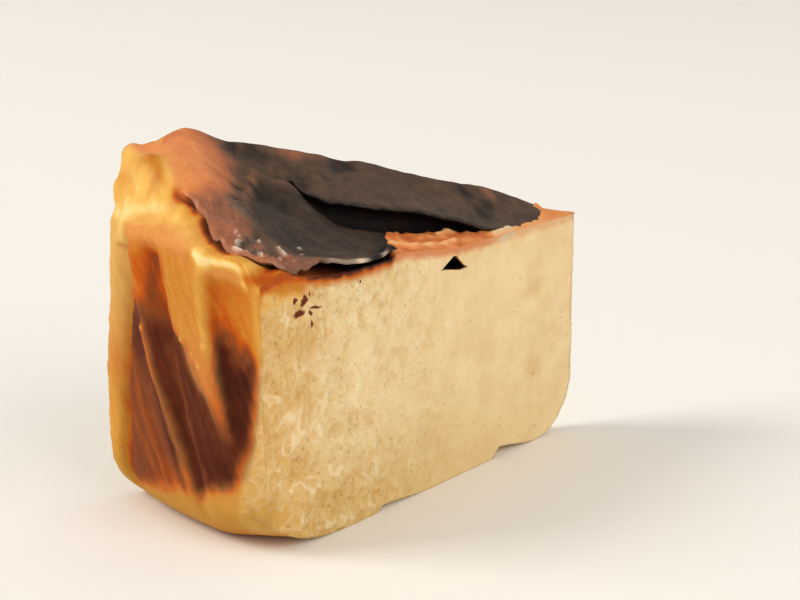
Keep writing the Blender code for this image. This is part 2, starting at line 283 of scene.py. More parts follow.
# Browning, from 0, pale custard, to 1, charred. Lines on the wall are (height, place
# along the rim from the near cut), and the brown foot's is the other way round
wall = {
    "pleatTop": 54.5,
    "pleatTopDrop": 4.6,
    "shelfRows": 0.74,             # share of the rows that is below the shoulder
    "shoulderReach": (4.5, 6.0),
    "setback": (0.9, 0.2, 1.0),    # of the shoulder behind the lip: near cut, middle, far cut
    "lipCalm": 0.8,                # how far the folds fade into the lip above them
    "baseRound": (9.0, 9.0, 15.0),
    "belly": (1.5, 20.0),          # the wall swells out towards the far cut: by how much, how high up
    "starts": 84.0,
    "worn": (Vector((2.0, 2.0, 0)), 8.0, 14.0),
    "pleats": (
        (6.0, 2.0, 2.0, -1.5, 4.5), (14.0, 20.0, 2.5, 1.6, 2.6), (21.5, 16.0, 1.4, 1.1, 5.5),
        (30.0, 15.5, 1.0, -1.8, 2.3), (34.5, 20.0, 1.3, 1.3, 3.2), (39.6, -1.7, 1.0, -1.8, 2.1),
        (44.5, -1.0, 1.0, 0.8, 3.0),
    ),
    "outerCrease": (
        (0, 42.5), (10, 42.4), (17, 41.4), (26, 40.7), (32, 40.2), (38, 40.0), (43, 39.5), (50, 38.5),
        (55, 39.0),
    ),
    "innerCrease": ((30, 27), (38, 28.6), (44.5, 29.6), (51.6, 29.4), (55, 29)),
    "panelLeft": (
        (20, 8.8), (22.5, 10.2), (25.9, 12.4), (27.9, 13.6), (30, 16), (32.3, 17.9), (35.6, 19.6),
        (37.2, 20.9), (38.7, 24.0), (42.2, 26.2), (46.7, 26.8), (55, 27.2),
    ),
    "panelRight": (
        (18, 4.8), (21.7, 6.7), (23.4, 7.6), (26.5, 8.5), (30.3, 9.6), (34.6, 10.5), (39, 11.0),
        (42.5, 11.6), (46.1, 11.7), (49.7, 11.6), (55, 11.8),
    ),
    "cutEdge": (
        (0, 8), (10, 6.0), (16, 4.3), (22.4, 2.6), (26.5, 1.7), (30, 1.1), (38, 0.4), (44, -0.8), (56, -1),
    ),
    "brownFoot": (
        (0, 13), (5.5, 13), (9, 12.6), (17, 8.9), (21, 8.6), (28, 7.7), (35, 6), (41.8, 4.5), (48, 4),
    ),
    "streaks": (                    # line, half-width, rise, browning
        (
            ((6, 16.7), (9.6, 18.6), (15.8, 20.9), (19.9, 22.9), (25.1, 25.3), (31.3, 29.0), (38.5, 31.8)),
            1.0, 0.45, 0.6,
        ),
        (((29, 27.6), (31.3, 29.0), (37, 31.2)), 0.8, 0.2, 0.48),
        (((6, 16.7), (9.6, 18.6), (13.5, 20.1)), 1.0, 0.2, 0.48),
        (((20, 16.5), (25, 19.6), (30, 22.6), (35, 25)), 1.0, 0.35, 0.68),
        (((8, 11.4), (13, 13.5), (18, 16.2), (24, 19.2)), 0.9, 0.3, 0.74),
        (((10, 26), (18, 31), (26, 35.0), (33, 37.4)), 1.3, 0.3, 0.6),
        (((12, 31), (18, 35), (26, 38.4)), 1.2, 0.25, 0.61),
        (((42, 33.0), (49, 33.4), (53, 33.6)), 1.5, 0.5, 0.46),
    ),
    "orangePatch": ((95.2, 0.63), (95.2, 0.52), (96.2, 0.4)),
    "blisters": (                   # place along the rim, height, radius
        (12.6, 38.0, 0.6), (19.9, 37.6, 0.5), (14.2, 34.0, 0.5), (16.6, 35.4, 0.4), (31.8, 37.4, 0.6),
    ),
    "blisterRise": 0.35,
    "shoulderLumps": 1.1,
    "clouds": ((1, 5, 41), (0.5, 1.8, 43)),   # height, size and seed, as the others below
    "lineNoise": (0.05, 1.2),       # of the browning along the folds
    "fineLines": (0.25, 1.9),       # and of the relief
    "fineGrain": ((0.12, 1.5, 83),),
    "fineCreases": (                # line, place beside it, height, half-width, and where upwards
        ("outerCrease", 0, -0.9, 0.9, (-1, 0)), ("panelLeft", 0, -0.5, 0.9, (20, 26)),
        ("panelRight", 1.1, 0.8, 1.0, (24, 32)), ("panelRight", -0.7, -0.7, 0.9, (18, 26)),
    ),
}
wallTones = {
    "folds": (0.47, 0.8, 0.06),    # beside the left strip: above, below, and darker still at the foot
    "besideStreak": 0.69,
    "innerCrease": 0.66,
    "outerCrease": 0.68,
    "panel": (0.37, 0.53, 0.13),   # golden panel: middle, its top left, darker downwards
    "panelEdges": (1.8, 0.5),      # how soft it is on the left and on the right
    # painted highlight along the raised ridge right of the golden panel
    "paleRidgeHighlight": 0.24,
    "lastPanel": (0.41, 0.45),     # at the near cut, and away from it
    "lastEdge": 0.28,
    "lastDark": 0.88,
    "streakShare": 0.8,
    # painted highlight on the raised blisters
    "blisterHighlight": 0.15,
    "tongue": 0.55,                # lighter, at the foot
    "strip": (0.22, 0.18, 0.07),   # left strip: itself, darker midway, darker at the foot
    "cutEdge": 0.5,
    "foot": 0.37,
}


def pleatTop(side):
    return wall["pleatTop"] - wall["pleatTopDrop"] * smooth(-0.82, -1, side)


def streakShare(q, z, line, halfWidth):
    low, high = line[0][0], line[-1][0]
    if not low - 3 < z < high + 3:
        return 0
    ends = smooth(low - 3, low + 2, z) * smooth(high + 3, high - 2, z)
    return ends * bump(q - between(line, z), halfWidth)


def wallBrowning(q, z):  # q is the place along the rim from the near cut, z the height
    cloudy = lumps((q, z, 0), wall["clouds"])
    q += 0.25 * cloudy
    outer = between(wall["outerCrease"], z)
    inner = between(wall["innerCrease"], z)
    left = between(wall["panelLeft"], z)
    right = between(wall["panelRight"], z)
    firstStreak = between(wall["streaks"][0][0], z)

    top, low, darker = wallTones["folds"]
    value = blend(top, low + darker * smooth(24, 14, z), smooth(46, 37, z + 2 * cloudy))
    value = blend(value, wallTones["besideStreak"], smooth(1, 5, q - firstStreak) * smooth(33, 24, z))
    inCrease = 0.9 * bump(q - inner, 1.3) * smooth(38, 44, z) * smooth(53, 50.5, z)
    value = blend(value, wallTones["innerCrease"], inCrease)
    value = blend(value, wallTones["outerCrease"], bump(outer - q - 0.5, 1.2) * smooth(36, 42, z))

    middle, topLeft, darker = wallTones["panel"]
    panel = blend(middle, topLeft, smooth(5, 0, left - q) * smooth(54.5, 50, z))
    panel += darker * smooth(42, 27, z)
    soft, sharp = wallTones["panelEdges"]
    across = smooth(left + soft, left - soft, q) * smooth(right - sharp, right + sharp, q)
    value = blend(value, panel, across * smooth(18.5, 27, z))
    # painted highlight along the raised ridge beside the panel
    value = blend(value, wallTones["paleRidgeHighlight"], 0.85 * bump(q - right - 1.1, 1.0) * smooth(32, 42, z))

    last = blend(*wallTones["lastPanel"], smooth(5, 10, q))
    last = blend(last, wallTones["lastEdge"], smooth(3.0, 0.8, q) * smooth(32, 40, z))
    darkFrom = blend(33.5, 38.5, smooth(2, 9, q)) + 3 * cloudy
    last = blend(last, wallTones["lastDark"], smooth(darkFrom + 6.5, darkFrom - 4, z))
    value = blend(value, last, smooth(right + 0.6, right - 0.6, q))

    for line, halfWidth, rise, tone in wall["streaks"]:
        value = blend(value, tone, wallTones["streakShare"] * streakShare(q, z, line, halfWidth))
    for place, height, radius in wall["blisters"]:
        value = blend(value, wallTones["blisterHighlight"], bump(math.hypot(q - place, z - height), radius))
    value = blend(value, wallTones["tongue"], 0.6 * bump(q - 24, 5) * bump(z - 11, 3.5))
    strip, midway, atFoot = wallTones["strip"]
    strip += midway * bump(z - 30, 13) + atFoot * smooth(20, 8, z)
    value = blend(value, strip, smooth(outer - 0.9, outer + 1.1, q))
    atCut = 0.9 * bump(q - between(wall["cutEdge"], z) - 0.7, 1.3) * smooth(40, 34, z)
    value = blend(value, wallTones["cutEdge"], atCut)
    foot = between(wall["brownFoot"], q) + 2.0 * cloudy
    strength, size = wall["lineNoise"]
    lines = strength * lump((q - 0.5 * z, 0.15 * z, 0), size, 45)
    return blend(value + lines, wallTones["foot"], smooth(foot + 3, foot - 2.5, z))


# Small forms where the wall meets the shoulder: a line of (place along the rim, height), its
# half-width, browning and relief in mm
lip = {
    "roll": (
        ((36, 54.2), (32.6, 54.5), (28.6, 54.9), (24.3, 54.9), (20.6, 54.7), (18.0, 54.2)), 2.0, 0.34, 0.9,
    ),
    "fold": (((41.5, 58.5), (40.6, 53.7), (41.2, 50.8)), 1.4, 0.06, 0.6),
    "lobe": (((12.8, 53.6), (11.6, 52.3)), 1.2, 0.04, 0.4),
    "ribbon": (
        (
            (14.6, 53.9), (12.1, 53.2), (9.4, 53.3), (7.4, 53.4), (5.6, 53.2), (4.6, 52.4), (4.2, 51.4),
            (4.2, 50.4),
        ), 1.1, -0.06, 0.5,
    ),
    "paleBand": (((41, 57.2), (34.2, 58.4), (30.5, 59.3)), 1.6, 0.03, 0.2),
    "peach": (((10.4, 51.2), (8.6, 51.3), (6.4, 51.0)), 1.2, 0.3, 0.4),
    "gold": (((3.4, 53.6), (2.7, 53.0)), 0.8, 0.12, 0.3),
    # the pit's darker tone is painted shade over its real dip
    "pit": (((3.4, 51.4), (1.7, 51.5), (-0.5, 51.2)), 1.1, 0.53, -0.4),
    "nick": (((42.3, 50.5), (40.6, 50.2)), 0.6, 0.56, -0.6),
}


skinTones = {
    "charredAndSheen": (0.89, 0.83),       # the front sheet, and the slab, paler partly as a painted sheen
    "fringe": (0.67, 0.01),        # where the charring ends, and how much paler each mm further
    "dome": (0.54, 0.022),
    "palest": 0.39,
    "patches": (5, 51),            # size and seed
    "patchy": (0.04, 2.0),         # of the browning, and of the charring's edge in mm
    "fade": ((-5.5, 2.5), (-3.5, 1.5)),   # of the charring into the fringe, into the dome
    "edges": (                     # at a cut: which, tone, share, reach, and where along
        (-1, 0.7, 0.6, (3.0, 0.8), ((66, 76),)),
        (1, 0.5, 0.7, (4, 0.5), ((82, 88),)),
        (1, 0.7, 0.8, (2.5, 0.5), ((46, 60), (84, 78))),
    ),
    "ridge": (0.72, 0.6),          # paler on the raised ridge, partly a painted highlight: tone and share
    # painted shade in the dents
    "dentShade": (1.0, 0.75),
    # tan spots, partly painted highlights
    "tan": (0.6, 0.7),
    "speckle": (0.05, 1.7),        # strength and size
}


def skinTone(along, side):
    place = flatPlace(along, side)
    flat = (*place, 0)
    patchy = lump(flat, *skinTones["patches"])
    ofTone, ofEdge = skinTones["patchy"]
    past = along - between(skin["darkLine"], side) + ofEdge * patchy
    dome = smooth(-0.05, 0.25, side)
    starts = (skinTones["fringe"], skinTones["dome"])
    atFringe, atDome = (tone - paler * max(past, 0) for tone, paler in starts)
    onSlab = smooth(0, 1.5, behindLip(along, side))
    charredAndSheen = blend(*skinTones["charredAndSheen"], onSlab) + ofTone * patchy
    fringeFade, domeFade = skinTones["fade"]
    fade = smooth(*(blend(first, second, dome) for first, second in zip(fringeFade, domeFade)), past)
    value = blend(charredAndSheen, max(blend(atFringe, atDome, dome), skinTones["palest"]), fade)
    for cut, tone, share, reach, spans in skinTones["edges"]:
        share *= smooth(*reach, (1 - cut * side) * along * cake["halfAngle"])
        for span in spans:
            share *= smooth(*span, along)
        value = blend(value, tone, share)
    tone, share = skinTones["ridge"]
    value = blend(value, tone, share * onLine(place, ridgeLine, skin["ridgeShape"][1]))
    tone, share = skinTones["dentShade"]
    for spot, radius, depth in dentPlaces:
        value = blend(value, tone, share * bump(math.dist(place, spot), radius * 0.85))
    tone, share = skinTones["tan"]
    for spot, radius in tanAndHighlightPlaces:
        value = blend(value, tone, share * bump(math.dist(place, spot), radius))
    strength, size = skinTones["speckle"]
    value += strength * lump(flat, size, 53)
    # painted shade in the fringe's hollows and under the flap
    for line, halfWidth, tone, rise in shadedHollowLines:
        value = blend(value, tone, 0.9 * onLine(place, line, halfWidth))
    return value


orangePatch = [flatPlace(*spot) for spot in wall["orangePatch"]]


shoulder = {
    "tone": 0.14,
    "patches": ((-0.2, 6.5, 7), (-0.1, 2.6, 61)),
    "nearTone": 0.3,               # beside the skin's edge, towards the near cut
    "orangePatch": (0.42, 0.95, 1.9),   # tone, share, half-width
    # painted shadow beside the skin's rim edge: an orange-brown band, then a dark red core
    "besideCreaseShadow": 0.42,
    "crease": 0.76,
    "creaseGap": (-0.13, 0.05),    # across, where the crease is broken, and its half-width
    "creaseWider": (1.1, -0.85, 0.09),   # mm, place and half-width across
}


def shoulderTone(along, side, height):
    value = shoulder["tone"] + lumps(toWorld(along, side, height), shoulder["patches"])
    nearEdge = 0.6 * smooth(-0.15, -0.6, side) * smooth(5.5, 1.5, along - rimEdge(side))
    value = blend(value, shoulder["nearTone"], nearEdge)
    tone, share, halfWidth = shoulder["orangePatch"]
    return blend(value, tone, share * onLine(flatPlace(along, side), orangePatch, halfWidth))


def creaseShadowTone(value, along, side):  # painted shadow: dark red beside the skin's rim edge, where its lifted edge shades the shoulder
    edge = along - rimEdge(side)
    gapAt, gapWidth = shoulder["creaseGap"]
    creased = creaseShare(side) * (1 - 0.8 * bump(side - gapAt, gapWidth)) * smooth(-0.98, -0.9, side)
    most, widerAt, spread = shoulder["creaseWider"]
    wider = most * bump(side - widerAt, spread)
    beside = blend(bump(edge - 0.6, 1.1), smooth(1.7 + wider, 0.4 + wider, edge), crispRim(side))
    value = blend(value, shoulder["besideCreaseShadow"], 0.6 * smooth(3.6, 0.8, edge) * creased)
    return blend(value, shoulder["crease"], 0.95 * beside * creased)


def lipTone(value, q, z):
    for line, halfWidth, tone, rise in lip.values():
        value = blend(value, tone, 0.92 * onLine((q, z), line, halfWidth))
    return value


# The band beside the near cut where the skin is torn away, as lines of (along, side)
band = {
    "ridge": ((56.0, -0.6), (53.5, -0.85), (48.5, -0.88), (43.9, -0.83), (40.5, -0.8)),
    "scrap": ((41.2, -0.43), (37.7, -0.33), (33.6, -0.22)),
    "crumb": ((28.6, -0.93), (25.5, -0.9), (23.1, -0.88)),
}
bandLines = {name: [flatPlace(*spot) for spot in line] for name, line in band.items()}
bandForms = {                      # tone, its share and half-width, then height and its half-width
    # the ridge's pale tone is a painted highlight along its raised crest
    "ridge": (0.12, 0.9, 0.8, 0.7, 0.8),
    "scrap": (0.1, 0.9, 0.8, 0.9, 0.7),
    "crumb": (0.0, 0.9, 0.9, 0.5, 0.9),
}
bandTones = {
    "torn": 0.5,
    "patches": ((0.25, 3, 71), (0.15, 1.3, 72)),
    "paler": ((0.25, (34, 24)), (0.36, (14, 8))),   # tone, and where along
    "veins": (0.5, 2.6),
    "grain": ((0.3, 1.3, 97),),
}


def bandTone(along, side):
    place = flatPlace(along, side)
    value = bandTones["torn"] + lumps((*place, 0), bandTones["patches"])
    for tone, span in bandTones["paler"]:
        value = blend(value, tone, smooth(*span, along))
    for name, (tone, share, halfWidth, rise, riseWidth) in bandForms.items():
        value = blend(value, tone, share * onLine(place, bandLines[name], halfWidth))
    return value


def bandRelief(along, side):
    place = flatPlace(along, side)
    high, size = bandTones["veins"]
    relief = high * (veins((place[0] * 0.4, place[1], 0), size, 73) - 0.4)
    relief += lumps((*place, 0), bandTones["grain"])
    for name, (tone, share, halfWidth, rise, riseWidth) in bandForms.items():
        relief += rise * onLine(place, bandLines[name], riseWidth)
    return relief


skinBed = {                        # how the body lies under the skin, in mm
    "slab": (0.3, 1.3),            # from the slab's lip
    "slabTip": (9.2, 10.4),
    "torn": (-0.3, 0.9),           # from the front sheet's torn edge
    "rim": ((3.5, 0.2), (8.0, 1.4)),   # from the rim edge, where it melts and where it is torn
    "raised": (2.2, 5.0),          # behind the slab's lip
    "groove": (1.6, 0.5, 2.2),     # depth, place and half-width, along the crevice
    "crease": (0.6, 0.6, 0.9),     # the same, along the rim edge
    "gap": 0.1,
}


def coveredBySkin(along, side):
    bySlab = smooth(*skinBed["slab"], behindLip(along, side)) * smooth(*skinBed["slabTip"], along)
    byFront = smooth(*skinBed["torn"], along - tornLine(side))
    ends = (blend(melting, torn, crispRim(side)) for melting, torn in skinBed["rim"])
    return max(bySlab, byFront) * smooth(*ends, rimEdge(side) - along)


def bodyTop(along, side):
    behind = behindLip(along, side)
    raised = skin["lift"] * slabOpen(along) * smooth(*skinBed["raised"], behind)
    depth, place, halfWidth = skinBed["groove"]
    groove = depth * slabOpen(along) * bump(behind - place, halfWidth)
    sunk = (skin["thick"] + skinBed["gap"] + dentDepth(flatPlace(along, side))) * coveredBySkin(along, side)
    depth, place, halfWidth = skinBed["crease"]
    crease = depth * bump(along - rimEdge(side) - place, halfWidth)
    sunk += crease * creaseShare(side) * smooth(-0.1, 0.0, side)
    return level(along, side) + raised - groove - sunk


def roundCorner(out, up):  # turns a unit square's outer corner into a quarter of a disc
    if min(out, up) <= 0:
        return out, up
    shrink = max(out, up) / math.hypot(out, up)
    return out * shrink, up * shrink


def roundEdges(along, height, side, shelf, top):
    radius = cake["radius"]
    reach = wall["shoulderReach"][0] + wall["shoulderReach"][1] * bump(side + 0.15, 0.45)
    out, up = roundCorner((along - radius + reach) / reach, (height - shelf) / (top - shelf))
    along = radius - reach + reach * out
    height = shelf + (top - shelf) * up
    roundUp, roundIn, nearIn = wall["baseRound"]
    reach = roundIn + nearIn * smooth(-0.3, -1, side)
    out, down = roundCorner((along - radius + reach) / reach, 1 - height / roundUp)
    return radius - reach + reach * out, roundUp * (1 - down)


def pleatRelief(side, height):
    place = (side + 1) * halfChord
    fall = min(max(1 - height / wall["pleatTop"], 0), 1)
    relief = 0
    for atTop, drift, bend, depth, halfWidth in wall["pleats"]:
        relief += depth * bump(place - atTop + drift * fall ** bend, halfWidth)
    atLip = smooth(38, wall["pleatTop"], height)
    calm = 1 - wall["lipCalm"] * smooth(4.0, 1.2, pleatTop(side) - height)
    return relief * (3 + atLip) / 4 * calm * smooth(0, 9, height) + 0.5 * atLip * smooth(1.0, 0.5, side)


def wallShape(along, side, height):  # how far the wall stands out or in
    overPleats = height - pleatTop(side)
    above = smooth(0, 2.2, overPleats)
    below = 1 - smooth(-0.6, 1.8, overPleats)
    atNear, atMiddle, atFar = wall["setback"]
    setback = blend(blend(atNear, atMiddle, smooth(-0.55, -0.1, side)), atFar, smooth(0.6, 0.9, side))
    bulges = wall["shoulderLumps"] * lump((along, side * halfChord, height), cake["lumpSize"], 7)
    swell, middle = wall["belly"]
    belly = swell * bump(height - middle, middle) * smooth(-0.3, 1, side)
    fade = smooth(wall["starts"], cake["radius"], along)
    return fade * (above * (bulges - setback) + below * pleatRelief(side, height) + belly)


def tipWear(along, height):
    wornIn, wornUp = cake["tipWorn"]
    down = min(max(1 - height / wornUp, 0), 1)
    return wornIn * (1 - math.sqrt(1 - down * down)) * (1 - smooth(0, 3 * wornIn, along))


def chipRise(along, side, height):
    sharp, deep, high = cake["chipReach"]
    rise = 0
    for rimEnd, tipEnd, most in cake["footChips"]:
        rise += most * smooth(rimEnd, rimEnd - sharp, along) * smooth(tipEnd, rimEnd, along)
    return rise * smooth(deep, 0, fromNearCut(along, side)) * smooth(high, 0, height)


def shelfUnder(along, side, top):
    rim = smooth(cake["hollow"][0], cake["radius"], along)
    return blend(wall["shelfRows"] * top, pleatTop(side), rim)


def bodyPoint(a, side, c):
    along = blend(cake["tipStart"], cake["radius"], a)
    top = bodyTop(along, side)
    shelf = shelfUnder(along, side, top)
    shelfRows = wall["shelfRows"]
    if c <= shelfRows:
        height = shelf * c / shelfRows
    else:
        height = blend(shelf, top, (c - shelfRows) / (1 - shelfRows))
    along, height = roundEdges(along, height, side, shelf, top)
    along += wallShape(along, side, height) + tipWear(along, height)
    return along, height + chipRise(along, side, height)


def bodyPlace(along, side, height):
    place = toWorld(along, side, height)
    wave = cake["cutWave"] * smooth(0.7, 1, abs(side)) * smooth(0, 20, along)
    place.y += wave * lump((place.x, height, side), cake["waveSize"], 11)
    shift, atHeight, spread = wall["worn"]
    worn = bump(height - atHeight, spread) * smooth(-0.75, -1, side)
    return place + shift * worn * smooth(wall["starts"], cake["radius"], along)


def fineWall(q, z):  # creases, ridges and small folds of the baking paper's print
    relief = 0
    for name, beside, rise, halfWidth, span in wall["fineCreases"]:
        relief += rise * bump(q - between(wall[name], z) - beside, halfWidth) * smooth(*span, z)
    for line, halfWidth, rise, tone in wall["streaks"]:
        relief += rise * streakShare(q, z, line, halfWidth)
    for place, height, radius in wall["blisters"]:
        relief += wall["blisterRise"] * bump(math.hypot(q - place, z - height), radius)
    high, size = wall["fineLines"]
    relief += high * lump((q - 0.5 * z, z * 0.12, 0), size, 81) + lumps((q, z, 0), wall["fineGrain"])
    return relief * smooth(0, 6, z)


def fineLip(q, z):  # relief of the small forms at the lip
    return sum(rise * onLine((q, z), line, halfWidth) for line, halfWidth, tone, rise in lip.values())


# The cut faces: crumbly towards the rim, smoother towards the tip
cutFace = {
    "crumbly": (28, 62),           # along, from smooth to crumbly
    "calm": 0.35,                  # share of the relief that is left at the tip
    "warp": (2.4, 6),              # height and size of each
    "lumps": (0.7, 4.6),
    "veins": (0.5, 2.7),
    "grains": (0.35, 1.25),
    "veinMiddle": 0.4,
    "smears": (61.0, 10.0, 18.0, 11.0),   # along, spread, height, spread of the knife's smears
    "smearLean": math.radians(37),
    "smearShape": (0.8, 3.4, 0.3, 0.8),   # height, size, stretch and share
}


def crumbRelief(place, along, seed):
    bend, size = cutFace["warp"]
    warped = place + Vector((bend * lump(place, size, seed), 0, bend * lump(place, size, seed + 1)))
    high, size = cutFace["veins"]
    relief = high * (veins(warped, size, seed + 2) - cutFace["veinMiddle"])
    relief += lumps(warped, ((*cutFace["lumps"], seed + 3), (*cutFace["grains"], seed + 4)))
    relief *= blend(cutFace["calm"], 1, smooth(*cutFace["crumbly"], along))
    atAlong, spreadAlong, atHeight, spreadUp = cutFace["smears"]
    here = bump(along - atAlong, spreadAlong) * bump(place.z - atHeight, spreadUp)
    if here > 0.02:
        lean = cutFace["smearLean"]
        across = place.x * math.cos(lean) + place.z * math.sin(lean)
        down = place.x * math.sin(lean) - place.z * math.cos(lean)
        high, size, stretch, share = cutFace["smearShape"]
        smear = high * (veins((across, down * stretch, 0), size, seed + 5) - cutFace["veinMiddle"])
        relief = blend(relief, smear, share * here)
    return relief


onFace = 0.999                     # a row at this place or further lies on that face of the body
body = {
    "cells": (172, 76, 118),       # along, across, up
    "crowding": 0.85,              # below 1, the rows stand closer towards the rim
    "crumb": 0.75,                 # strength of the cut faces' crumbly relief
    "crumbAtEdge": 0.4,            # share of it that is left at the cut's edges
    "folds": ((0.75, 5.5, 91), (0.3, 2.4, 95)),   # of the shoulder
    "kink": ((0.2, 8), (49.5, 56), 95),   # smoothed there: across, heights, and outwards from
    "kinkSteps": 5,
    "gloss": (0.35, 0.4, 0.08),    # band, shoulder, wall
    "shadowUnderSkin": (1.0, 0.84, 0.64),   # painted shadow under the skin, as browning: inside, under its hem, by the corner
    "dome": 0.37,
    "paler": (0.3, 0.52, 0.25, 0.12),   # crust: at the foot, left strip, golden panel, first streak
    "pink": 0.6,
    "base": (0.36, 0.1, 9, 75),    # browning of the underside, with the height, size and seed of patches
    "bareCut": (0.4, 0.8),         # how baked the cut's top is at the tip, and further out
    "cutTones": (0.55, 0.44, 0.86),   # below the torn band, low and high below the skin
    "cornerTones": (               # at the near corner, by the depth below the top
        (0, 0.52), (1.5, 0.5), (2.4, 0.43), (3.4, 0.37), (4.4, 0.26), (5.5, 0.14),
    ),
    "paleLumpHighlight": ((98.8, 48.0), (96.0, 47.3)),   # painted highlight on a small lump in the near cut: along and height
}


def dividedBox(cells):
    grid = bmesh.new()
    bmesh.ops.create_cube(grid, size=2)
    for axis, count in enumerate(cells):
        edges = [edge for edge in grid.edges if abs(edge.verts[0].co[axis] - edge.verts[1].co[axis]) > 1]
        bmesh.ops.subdivide_edges(grid, edges=edges, cuts=count - 1, use_grid_fill=True)
    return grid


def paintLayers(grid, *names):
    return [grid.verts.layers.float.new(name) for name in names]


def finishMesh(grid, name, material, words):
    print(words, "has", len(grid.faces), "faces")
    for vert in grid.verts:
        vert.co = (vert.co + cake["point"]) * mm
    for face in grid.faces:
        face.smooth = True
    mesh = bpy.data.meshes.new(name)
    grid.to_mesh(mesh)
    grid.free()
    mesh.materials.append(material)
    piece = bpy.data.objects.new(name, mesh)
    bpy.context.scene.collection.objects.link(piece)
    return piece


def wallShare(side, height, along):
    return smooth(90, 98, along) * smooth(pleatTop(side) + 1.5, pleatTop(side) - 1.0, height)


def shoulderShare(side, height, along):
    return smooth(88, 94, along) * smooth(pleatTop(side) - 1.0, pleatTop(side) + 1.5, height)


def bodyRelief(place, a, side, c, along, height):  # fine relief in mm, and the part of it that is crumb
    onCut = (abs(side) > onFace or 1 - a > onFace) and c > 0
    outer = (a > onFace or c > onFace) and c > 0
    relief = crumb = 0
    if onCut:
        crumb = crumbRelief(place, along, 100 if side < 0 else 200)
        relief += body["crumb"] * crumb * smooth(0, 2, height) * (body["crumbAtEdge"] if outer else 1)
    if outer:
        q = (side + 1) * halfChord
        bare = 1 - coveredBySkin(along, side)
        toCorner = smooth(0, 1.2, min(q, 2 * halfChord - q) + 0.3)
        relief += wallShare(side, height, along) * fineWall(q, height) * toCorner
        relief += smooth(88, 94, along) * bare * fineLip(q, height)
        pastSkin = blend(smooth(-3, 1.5, along - rimEdge(side)), 1, crispRim(side))
        folds = lumps(place, body["folds"]) * pastSkin
        relief += shoulderShare(side, height, along) * bare * folds
        if along < 90 and c > onFace:
            relief += bare * bandRelief(along, side)
    return relief, crumb


def outerPaint(side, along, height):  # of the wall, the shoulder and the top
    q = (side + 1) * halfChord
    covered = coveredBySkin(along, side)
    atWall = wallShare(side, height, along)
    atRim = smooth(88, 91, along)
    dome = smooth(1.8, -1.2, along - between(skin["domeEdge"], side)) * (1 - crispRim(side)) * atRim
    browning = blend(bandTone(along, side), shoulderTone(along, side, height), atRim)
    # painted shadow under the sheets: near black inside, dark red under the hem and by the corner
    inside, hem, corner = body["shadowUnderSkin"]
    underHem = smooth(74, 80, along) * smooth(6, 3, fromNearCut(along, side))
    hidden = blend(inside, blend(hem, corner, smooth(81, 87, along)), underHem)
    browning = blend(browning, hidden, smooth(0.4, 1, covered))
    browning = blend(browning, wallBrowning(q, height), atWall)
    if along > 93:
        browning = lipTone(browning, q, height)
    # painted shadow of the skin's rim edge on the shoulder
    if height > 52:
        keeps = max(atWall * smooth(55.2, 54.4, height), covered)
        browning = blend(creaseShadowTone(browning, along, side), browning, keeps)
    browning = blend(browning, body["dome"], dome)

    ragged = q + 0.35 * lump((q, height, 0), 2.6, 87)
    cutAt = between(wall["cutEdge"], height)
    foot = between(wall["brownFoot"], q)
    atFoot, onStrip, onPanel, onStreak = body["paler"]
    crust = blend(1, smooth(cutAt - 1.2, cutAt + 1.2, ragged), atWall)
    crust *= 1 - atFoot * atWall * smooth(foot + 2, foot - 3, height)
    strip = smooth(0, 2, q - between(wall["outerCrease"], height)) * smooth(10, 50, height)
    inPanel = smooth(-1, 1, q - between(wall["panelRight"], height)) * bump(height - 33, 7)
    inPanel *= smooth(1, -1, q - between(wall["panelLeft"], height))
    pale = onStrip * strip + onPanel * inPanel + onStreak * streakShare(q, height, *wall["streaks"][0][:2])
    crust *= 1 - pale * atWall

    pink = sum(onLine((q, height), *lip[name][:2]) for name in ("roll", "peach"))
    torn = max(blend(1 - covered, body["pink"] * pink, atRim), dome)
    onBand, onShoulder, onWall = body["gloss"]
    return crust, browning, torn, blend(blend(onBand, onShoulder, atRim), onWall, atWall)


def cutPaint(place, side, along, height):
    covered = coveredBySkin(along, side)
    lifted = skin["lift"] * slabOpen(along) if side > 0 else 0
    under = level(along, side) + lifted - height + 0.5 * lump(place, 2, 77)
    bare = blend(*body["bareCut"], smooth(22, 34, along)) * smooth(2.6, 0.9, under)
    baked = blend(bare, smooth(3.8, 1.8, under), covered)
    belowBand, low, high = body["cutTones"]
    browning = blend(belowBand, blend(low, high, smooth(2.1, 1.2, under)), covered)
    corner = smooth(84.5, 90, along) * (side < 0)
    baked = max(baked, corner * smooth(6.5, 3.5, under))
    atCorner = corner * smooth(1.2, 2.2, under + covered)
    browning = blend(browning, between(body["cornerTones"], under), atCorner)
    pale = onLine((along, height), body["paleLumpHighlight"], 0.7) * (side < 0)
    return baked * (1 - 0.8 * pale), blend(browning, 0.1, pale), (1 - covered) * (1 - corner), 0.25


def bodyPaint(place, a, side, c, along, height):  # crust, browning, torn and gloss
    if a > onFace or c > onFace:
        return outerPaint(side, along, height)
    if 1 - c > onFace:
        tone, patchy, size, seed = body["base"]
        baked = smooth(1, 5, fromNearCut(along, side))
        return baked, tone + patchy * lump(place, size, seed), 0, 0.2
    return cutPaint(place, side, along, height)


def inKink(a, side, c, along, height):  # where the lip folds over beside the near cut
    (left, right), (low, high), outFrom = body["kink"]
    inside = left < (side + 1) * halfChord < right and low < height < high
    return (a > onFace or c > onFace) and inside and along > outFrom


